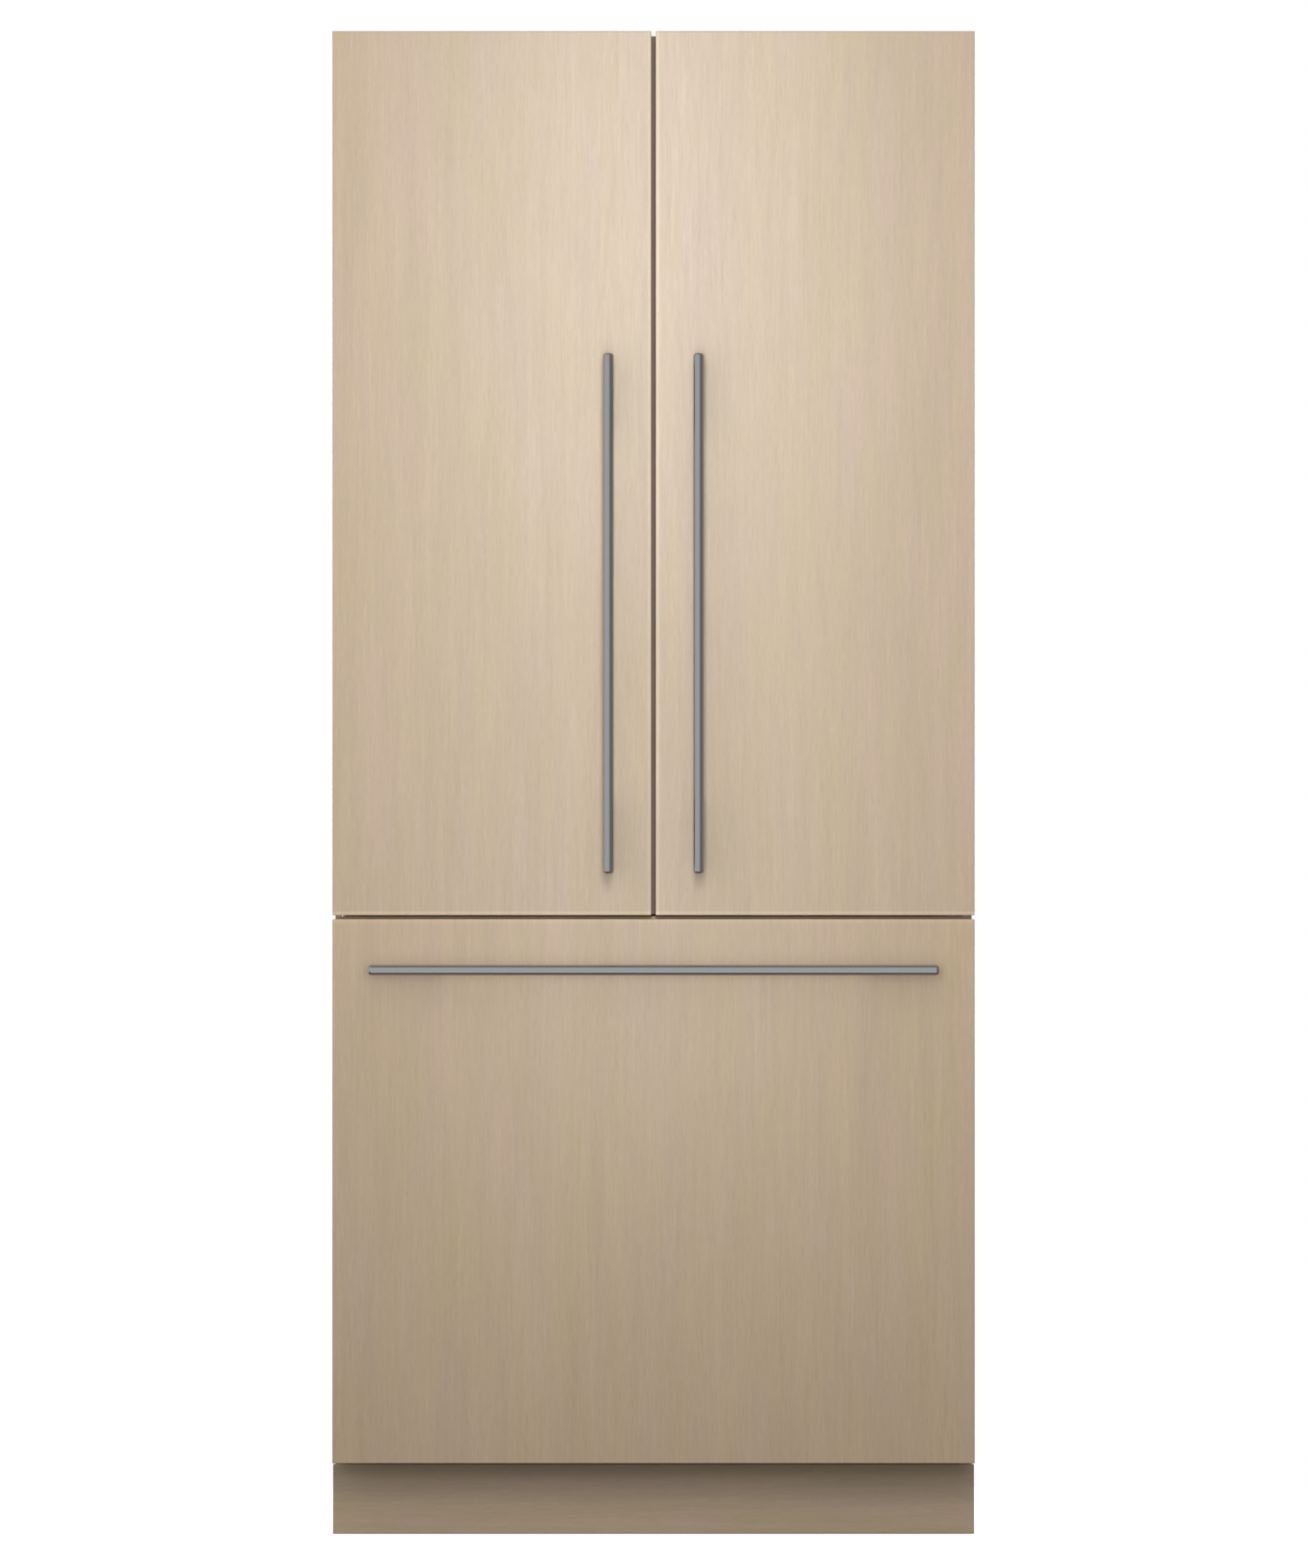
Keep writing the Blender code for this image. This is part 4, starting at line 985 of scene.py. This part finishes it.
def fan_guard(plastic):
    """Rings and spokes over the opening in front of the freezer's fan."""
    low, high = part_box("evaporator_cover")
    z = FREEZER_FAN_Z
    bm = bmesh.new()
    for radius in range(10, 70, 10):
        ring = [(radius + dr, dy) for dr, dy in ((-1.0, 0.0), (-0.8, -1.6), (0.8, -1.6), (1.0, 0.0))]
        rings = []
        for i in range(48):
            x_share, z_share = math.cos(2 * math.pi * i / 48) * MM, math.sin(2 * math.pi * i / 48) * MM
            rings.append([bm.verts.new((r * x_share, low.y + dy * MM, z + r * z_share)) for r, dy in ring])
        skin_rings(bm, rings, closed=True)
    for i in range(8):
        made_before = set(bm.verts)
        rounded_block(bm, (9 * MM, low.y - 1.3 * MM, -0.9 * MM), (61 * MM, low.y, 0.9 * MM), 0.4 * MM, 1)
        made = [vert for vert in bm.verts if vert not in made_before]
        spin = Matrix.Translation((0.0, 0.0, z)) @ Matrix.Rotation(math.pi * i / 4, 4, "Y")
        bmesh.ops.transform(bm, matrix=spin, verts=made)
    for x in (low.x + 0.015, high.x - 0.015):
        for height in (low.z + 0.012, high.z - 0.020):
            pan_screw(bm, (x, low.y, height), "Y", -1)
    finished_piece("evaporator_cover_guard", bm, plastic, "cabinet")


def drawer_pull(name, body, xs, front, top, plastic, proud=7.0):
    """A moulded finger pull with a hollow under it, along the front of a drawer."""
    outline = (
        (0.4, -26), (0.4, -2), (-1.0, 0.0), (-proud + 1.0, -0.6), (-proud, -2.0), (-proud, -6.0),
        (-proud + 1.2, -7.2), (-2.6, -7.6), (-1.6, -9.5), (-1.2, -24), (-0.8, -26),
    )
    bm = bmesh.new()
    drawn_section(bm, [(front + y * MM, top + z * MM) for y, z in outline], "X", *xs)
    edges = [edge for face in bm.faces if len(face.verts) > 4 for edge in face.edges]
    bmesh.ops.bevel(bm, geom=edges, offset=0.5 * MM, segments=2, profile=0.5, affect="EDGES")
    finished_piece(name, bm, plastic, body, 50)


def levelling_studs(label, steel):
    """The threaded stem and lock nut of a levelling foot."""
    low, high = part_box(f"foot_{label}")
    centre = ((low.x + high.x) / 2, (low.y + high.y) / 2, 0.0)
    profile = [(5.4 * MM, 13.0 * MM)]
    for turn in range(11):
        z = (14.0 + 1.3 * turn) * MM
        profile += [(6.9 * MM, z + 0.3 * MM), (6.9 * MM, z + 0.5 * MM), (6.1 * MM, z + 1.0 * MM)]
    bm = bmesh.new()
    turned(bm, profile, centre, "Z", 28)
    nut = [(r * MM, h * MM) for r, h in ((9.4, 13.2), (10.2, 14), (10.2, 18), (9.4, 18.8))]
    turned(bm, nut, centre, "Z", 6)
    finished_piece(f"foot_{label}_stud", bm, steel, f"foot_{label}")


def roller_hubs(label, steel):
    """The ends of a roller's axle, one on each side."""
    low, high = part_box(f"roller_{label}")
    middle = (low + high) / 2
    half = (high.x - low.x) / 2 - 0.2 * MM
    bm = bmesh.new()
    hub = [(0, 4.0), (3.0, half / MM - 1.5), (3.4, half / MM - 1.2), (3.4, half / MM), (0, half / MM + 0.1)]
    for outward in (-1, 1):
        turned(bm, [(r * MM, h * MM) for r, h in hub], middle, "X", 24, outward)
    finished_piece(f"roller_{label}_axle", bm, steel, f"roller_{label}")


# ---------------------------------------------------------------- operators


class RefrigeratorFronts(bpy.types.Operator):
    """Veneers the door, drawer and toe kick boards"""

    bl_idname = "refrigerator.fronts"
    bl_label = "Wood fronts"

    def execute(self, context):
        settings = context.scene.refrigerator_fronts
        colour = list(settings.veneer)
        # How much paler each board's edges are painted: a painted highlight along the eased edges.
        boards = {
            "left_door_panel": {"bottom": 0.20, "right": 0.10},
            "right_door_panel": {"bottom": 0.20, "left": 0.24},
            "drawer_panel": {"top": 0.10},
        }
        warmer = [channel * factor for channel, factor in zip(colour, (1.0, 0.985, 0.95))]
        for board, edge_highlight in boards.items():
            stain = warmer if board == "drawer_panel" else colour
            name = f"rift_oak_veneer_{board}"
            dress([board], lacquered_oak_veneer(name, board, stain, settings.leaf_width, edge_highlight))
        toe = lacquered_oak_veneer("rift_oak_veneer_toe_kick", "toe_kick", colour, 60 * MM, {}, upright=False)
        dress(["toe_kick"], toe)
        return {"FINISHED"}


class RefrigeratorHandles(bpy.types.Operator):
    """Makes the three bar handles"""

    bl_idname = "refrigerator.handles"
    bl_label = "Bar handles"

    def execute(self, context):
        settings = context.scene.refrigerator_fronts
        metal = satin_anodised_aluminium("satin_anodised_aluminium", list(settings.handle))
        for label in SIDES:
            bar_handle(f"{label}_door_handle", f"{label}_door", True, settings.bar_diameter, metal)
        bar_handle("drawer_handle", "freezer_drawer", False, settings.bar_diameter, metal)
        return {"FINISHED"}


class RefrigeratorDoorBacks(bpy.types.Operator):
    """Finishes the doors' and drawer's insulated backs, their gaskets and the flip mullion"""

    bl_idname = "refrigerator.door_backs"
    bl_label = "Door backs and gaskets"

    def execute(self, context):
        shell = thermoformed_polystyrene("thermoformed_polystyrene_doors", "EDEEEC")
        shells = [f"{label}_door_shell" for label in SIDES] + ["drawer_shell"]
        dress(shells, shell)
        soften_edges(shells, 1.2, 3)
        seal = extruded_soft_pvc("extruded_soft_pvc_gasket", "A9ABA9")
        for label in SIDES:
            bellows_gasket(f"{label}_door_gasket", f"{label}_door", seal)
        bellows_gasket("drawer_gasket", "freezer_drawer", seal)
        lip = extruded_soft_pvc("extruded_soft_pvc_lip", "847B70")
        gap_lips(lip, extruded_soft_pvc("extruded_soft_pvc_sill", "C4B196"))
        zinc = zinc_plated_steel("zinc_plated_brackets", "B4B6B4")
        for label, side in SIDES.items():
            panel_brackets(side, label, zinc)
        coat = powder_coated_steel("powder_coated_mullion", "B9BBBB")
        dress(["flip_mullion"], coat)
        mullion_details(coat)
        return {"FINISHED"}


class RefrigeratorDoorBins(bpy.types.Operator):
    """Finishes the clear door bins and their satin bands"""

    bl_idname = "refrigerator.door_bins"
    bl_label = "Door bins"

    def execute(self, context):
        clear = moulded_clear_polystyrene("moulded_clear_polystyrene_bins")
        band = satin_anodised_aluminium("anodised_aluminium_band", linear("C9CCD0"))
        for label in SIDES:
            for number in (1, 2):
                node = f"{label}_door_bin_{number}"
                dress([node], clear)
                soften_edges([node], 0.8)
                bin_trim(label, number, band)
        return {"FINISHED"}


class RefrigeratorCabinet(bpy.types.Operator):
    """Finishes the cabinet's skins, back, base, hinges and power inlet"""

    bl_idname = "refrigerator.cabinet"
    bl_label = "Cabinet"

    def execute(self, context):
        coat = powder_coated_steel("powder_coated_wrapper", "A7A9A9")
        dress(["outer_wrapper"], coat)
        dress(["face_frame"], powder_coated_steel("powder_coated_face_frame", "9A9690"))
        dress(["cabinet_core"], foamed_polyurethane("foamed_polyurethane"))
        zinc = zinc_plated_steel("zinc_plated_sheet", "A9ACAD")
        hinges = [f"hinge_{level}_{label}" for level in ("top", "middle") for label in SIDES]
        dress(["back_panel", "rear_cover", "base_frame", *hinges], zinc)
        soften_edges(hinges, 0.5)
        screws = zinc_plated_steel("zinc_plated_screws", "C2C3C0")
        back_panel_legs(zinc)
        sheet_metal_swages(zinc, coat)
        for level in ("top", "middle"):
            for label, side in SIDES.items():
                hinge_screws(level, label, side, screws)
        dress(["power_inlet"], moulded_abs("moulded_abs_inlet", "202124"))
        soften_edges(["power_inlet"], 0.6)
        inlet_blades(screws)
        return {"FINISHED"}


class RefrigeratorMachinery(bpy.types.Operator):
    """Finishes the compressor, condenser, fans and drain pan"""

    bl_idname = "refrigerator.machinery"
    bl_label = "Machinery"

    def execute(self, context):
        enamel = sprayed_black_enamel("sprayed_black_enamel")
        dress(["compressor"], enamel)
        soften_edges(["compressor"], 1.5)
        copper = drawn_copper("drawn_copper_tube")
        dress(["condenser_coil"], copper)
        fins = rolled_aluminium("rolled_aluminium_fins")
        dress(["evaporator_coil"], fins)
        plastic = moulded_abs("moulded_black_abs", "232427")
        black = ["condenser_fan_shroud", "condenser_fan", "evaporator_fan", "drain_pan"]
        dress(black, plastic)
        soften_edges(black, 0.6)
        rubber = extruded_soft_pvc("moulded_black_rubber", "2A2A2B")
        compressor_fittings(enamel, plastic, copper, rubber)
        condenser_fins(fins)
        return {"FINISHED"}


class RefrigeratorInterior(bpy.types.Operator):
    """Finishes the liners, shelves, duct, light and touch control"""

    bl_idname = "refrigerator.interior"
    bl_label = "Interior"

    def execute(self, context):
        liner = thermoformed_polystyrene("thermoformed_polystyrene_liner", "F0F1EF", 0.30)
        moulded = thermoformed_polystyrene("moulded_white_polystyrene", "F3F3F1", 0.36)
        dress(["fridge_liner", "freezer_liner"], liner)
        dress(["evaporator_cover", "air_duct"], moulded)
        soften_edges(["fridge_liner", "freezer_liner", "evaporator_cover", "air_duct"], 0.8)
        glass = toughened_glass("toughened_float_glass")
        rails = thermoformed_polystyrene("moulded_grey_polystyrene", "CDD0D1", 0.4)
        for node in ("crisper_cover", "shelf_1", "shelf_2", "shelf_3"):
            dress([node], glass)
            shelf_trims(node, rails)
        duct_grilles(rails)
        fan_guard(moulded)
        dress(["light_bar"], frosted_acrylic("frosted_opal_acrylic", 1.2))
        dress(["control_panel"], black_touch_glass("back_painted_touch_glass"))
        touch_marks(moulded_abs("printed_white_ink", "E9ECEE"))
        return {"FINISHED"}


class RefrigeratorDrawers(bpy.types.Operator):
    """Finishes the crispers, the freezer's basket and tray, and their rails"""

    bl_idname = "refrigerator.drawers"
    bl_label = "Crispers, basket, tray and rails"

    def execute(self, context):
        clear = moulded_clear_polystyrene("moulded_clear_polystyrene_crispers")
        white = thermoformed_polystyrene("moulded_white_polystyrene_baskets", "EEF0F0", 0.38)
        for label in SIDES:
            node = f"crisper_{label}"
            dress([node], clear)
            soften_edges([node], 1.0)
            low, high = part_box(node)
            ends = (low.x + 0.06, high.x - 0.06)
            drawer_pull(f"{node}_pull", node, ends, low.y, high.z - 4 * MM, white)
        dress(["drawer_basket", "freezer_tray"], white)
        soften_edges(["drawer_basket", "freezer_tray"], 1.2)
        low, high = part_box("freezer_tray")
        drawer_pull("freezer_tray_pull", "freezer_tray", (-0.09, 0.09), low.y, high.z - 4 * MM, white)
        rails = [f"{kind}_{label}" for kind in ("fixed_rail", "mid_rail", "drawer_rail") for label in SIDES]
        dress(rails, zinc_plated_steel("zinc_plated_rails", "BFC1C2"))
        soften_edges(rails, 0.4)
        return {"FINISHED"}


class RefrigeratorFeet(bpy.types.Operator):
    """Finishes the levelling feet and the rollers"""

    bl_idname = "refrigerator.feet"
    bl_label = "Feet and rollers"

    def execute(self, context):
        nylon = moulded_abs("moulded_black_nylon", "2B2B2D")
        zinc = zinc_plated_steel("zinc_plated_studs", "B9BBB9")
        for label in SIDES:
            dress([f"foot_{label}", f"roller_{label}"], nylon)
            soften_edges([f"foot_{label}", f"roller_{label}"], 0.4)
            levelling_studs(label, zinc)
            roller_hubs(label, zinc)
        return {"FINISHED"}


class RefrigeratorStage(bpy.types.Operator):
    """Sets the floor, the lights and the camera"""

    bl_idname = "refrigerator.stage"
    bl_label = "Studio"

    def execute(self, context):
        settings = context.scene.refrigerator_studio
        studio_floor()
        studio_world(settings.fill_strength)
        make_camera(settings)
        power = settings.key_power
        key = area_light("key_light", (0.0, -2.2, 1.95), (0.0, -0.29, 1.80), (0.36, 1.04), power)
        low = area_light("low_light", (0.0, -2.2, 0.95), (0.0, -0.29, 0.85), (0.36, 0.90), power * 0.36)
        handles = [obj for obj in bpy.data.objects if obj.name.endswith("_handle_bar")]
        if len(handles) != 3:
            raise RuntimeError("the handles come before the studio")
        for light in (key, low):
            light.light_linking.receiver_collection = choose_pieces(light, handles, "EXCLUDE")
        low_bars = [obj for obj in handles if obj.name.startswith("drawer")]
        key.light_linking.blocker_collection = choose_pieces(key, low_bars, "EXCLUDE")
        card = area_light("bounce_card", (0.0, -1.0, 0.12), (0.0, -0.35, 0.85), (1.8, 0.7), 2.2)
        card.light_linking.receiver_collection = choose_pieces(card, low_bars, "INCLUDE")
        for label, side in SIDES.items():
            area_light(f"{label}_rear_light", (side * 2.6, 3.0, 1.5), (0.0, 0.2, 1.0), (1.6, 1.6), 42.0)
        context.scene.view_settings.view_transform = "Standard"
        return {"FINISHED"}


class RefrigeratorPanel(bpy.types.Panel):
    """Lists the refrigerator's operators and the values to change"""

    bl_label = "French door refrigerator"
    bl_idname = "VIEW3D_PT_refrigerator"
    bl_space_type = "VIEW_3D"
    bl_region_type = "UI"
    bl_category = "Refrigerator"

    def draw(self, context):
        for group in (context.scene.refrigerator_fronts, context.scene.refrigerator_studio):
            for name in group.__annotations__:
                self.layout.prop(group, name)
        for operator in OPERATORS:
            self.layout.operator(operator.bl_idname)


OPERATORS = (
    RefrigeratorFronts, RefrigeratorHandles, RefrigeratorDoorBacks, RefrigeratorDoorBins, RefrigeratorCabinet,
    RefrigeratorMachinery, RefrigeratorInterior, RefrigeratorDrawers, RefrigeratorFeet, RefrigeratorStage,
)
SETTINGS = {"refrigerator_fronts": FrontSettings, "refrigerator_studio": StudioSettings}


def register():
    """Adds the settings, the operators and the panel to Blender."""
    for name, group in SETTINGS.items():
        bpy.utils.register_class(group)
        setattr(bpy.types.Scene, name, PointerProperty(type=group))
    for cls in (*OPERATORS, RefrigeratorPanel):
        bpy.utils.register_class(cls)


def unregister():
    """Takes them away again."""
    for cls in (RefrigeratorPanel, *reversed(OPERATORS)):
        bpy.utils.unregister_class(cls)
    for name, group in SETTINGS.items():
        delattr(bpy.types.Scene, name)
        bpy.utils.unregister_class(group)


def main():
    """Runs each operator in order."""
    register()
    for operator in OPERATORS:
        category, name = operator.bl_idname.split(".")
        getattr(getattr(bpy.ops, category), name)()


if __name__ == "__main__":
    main()
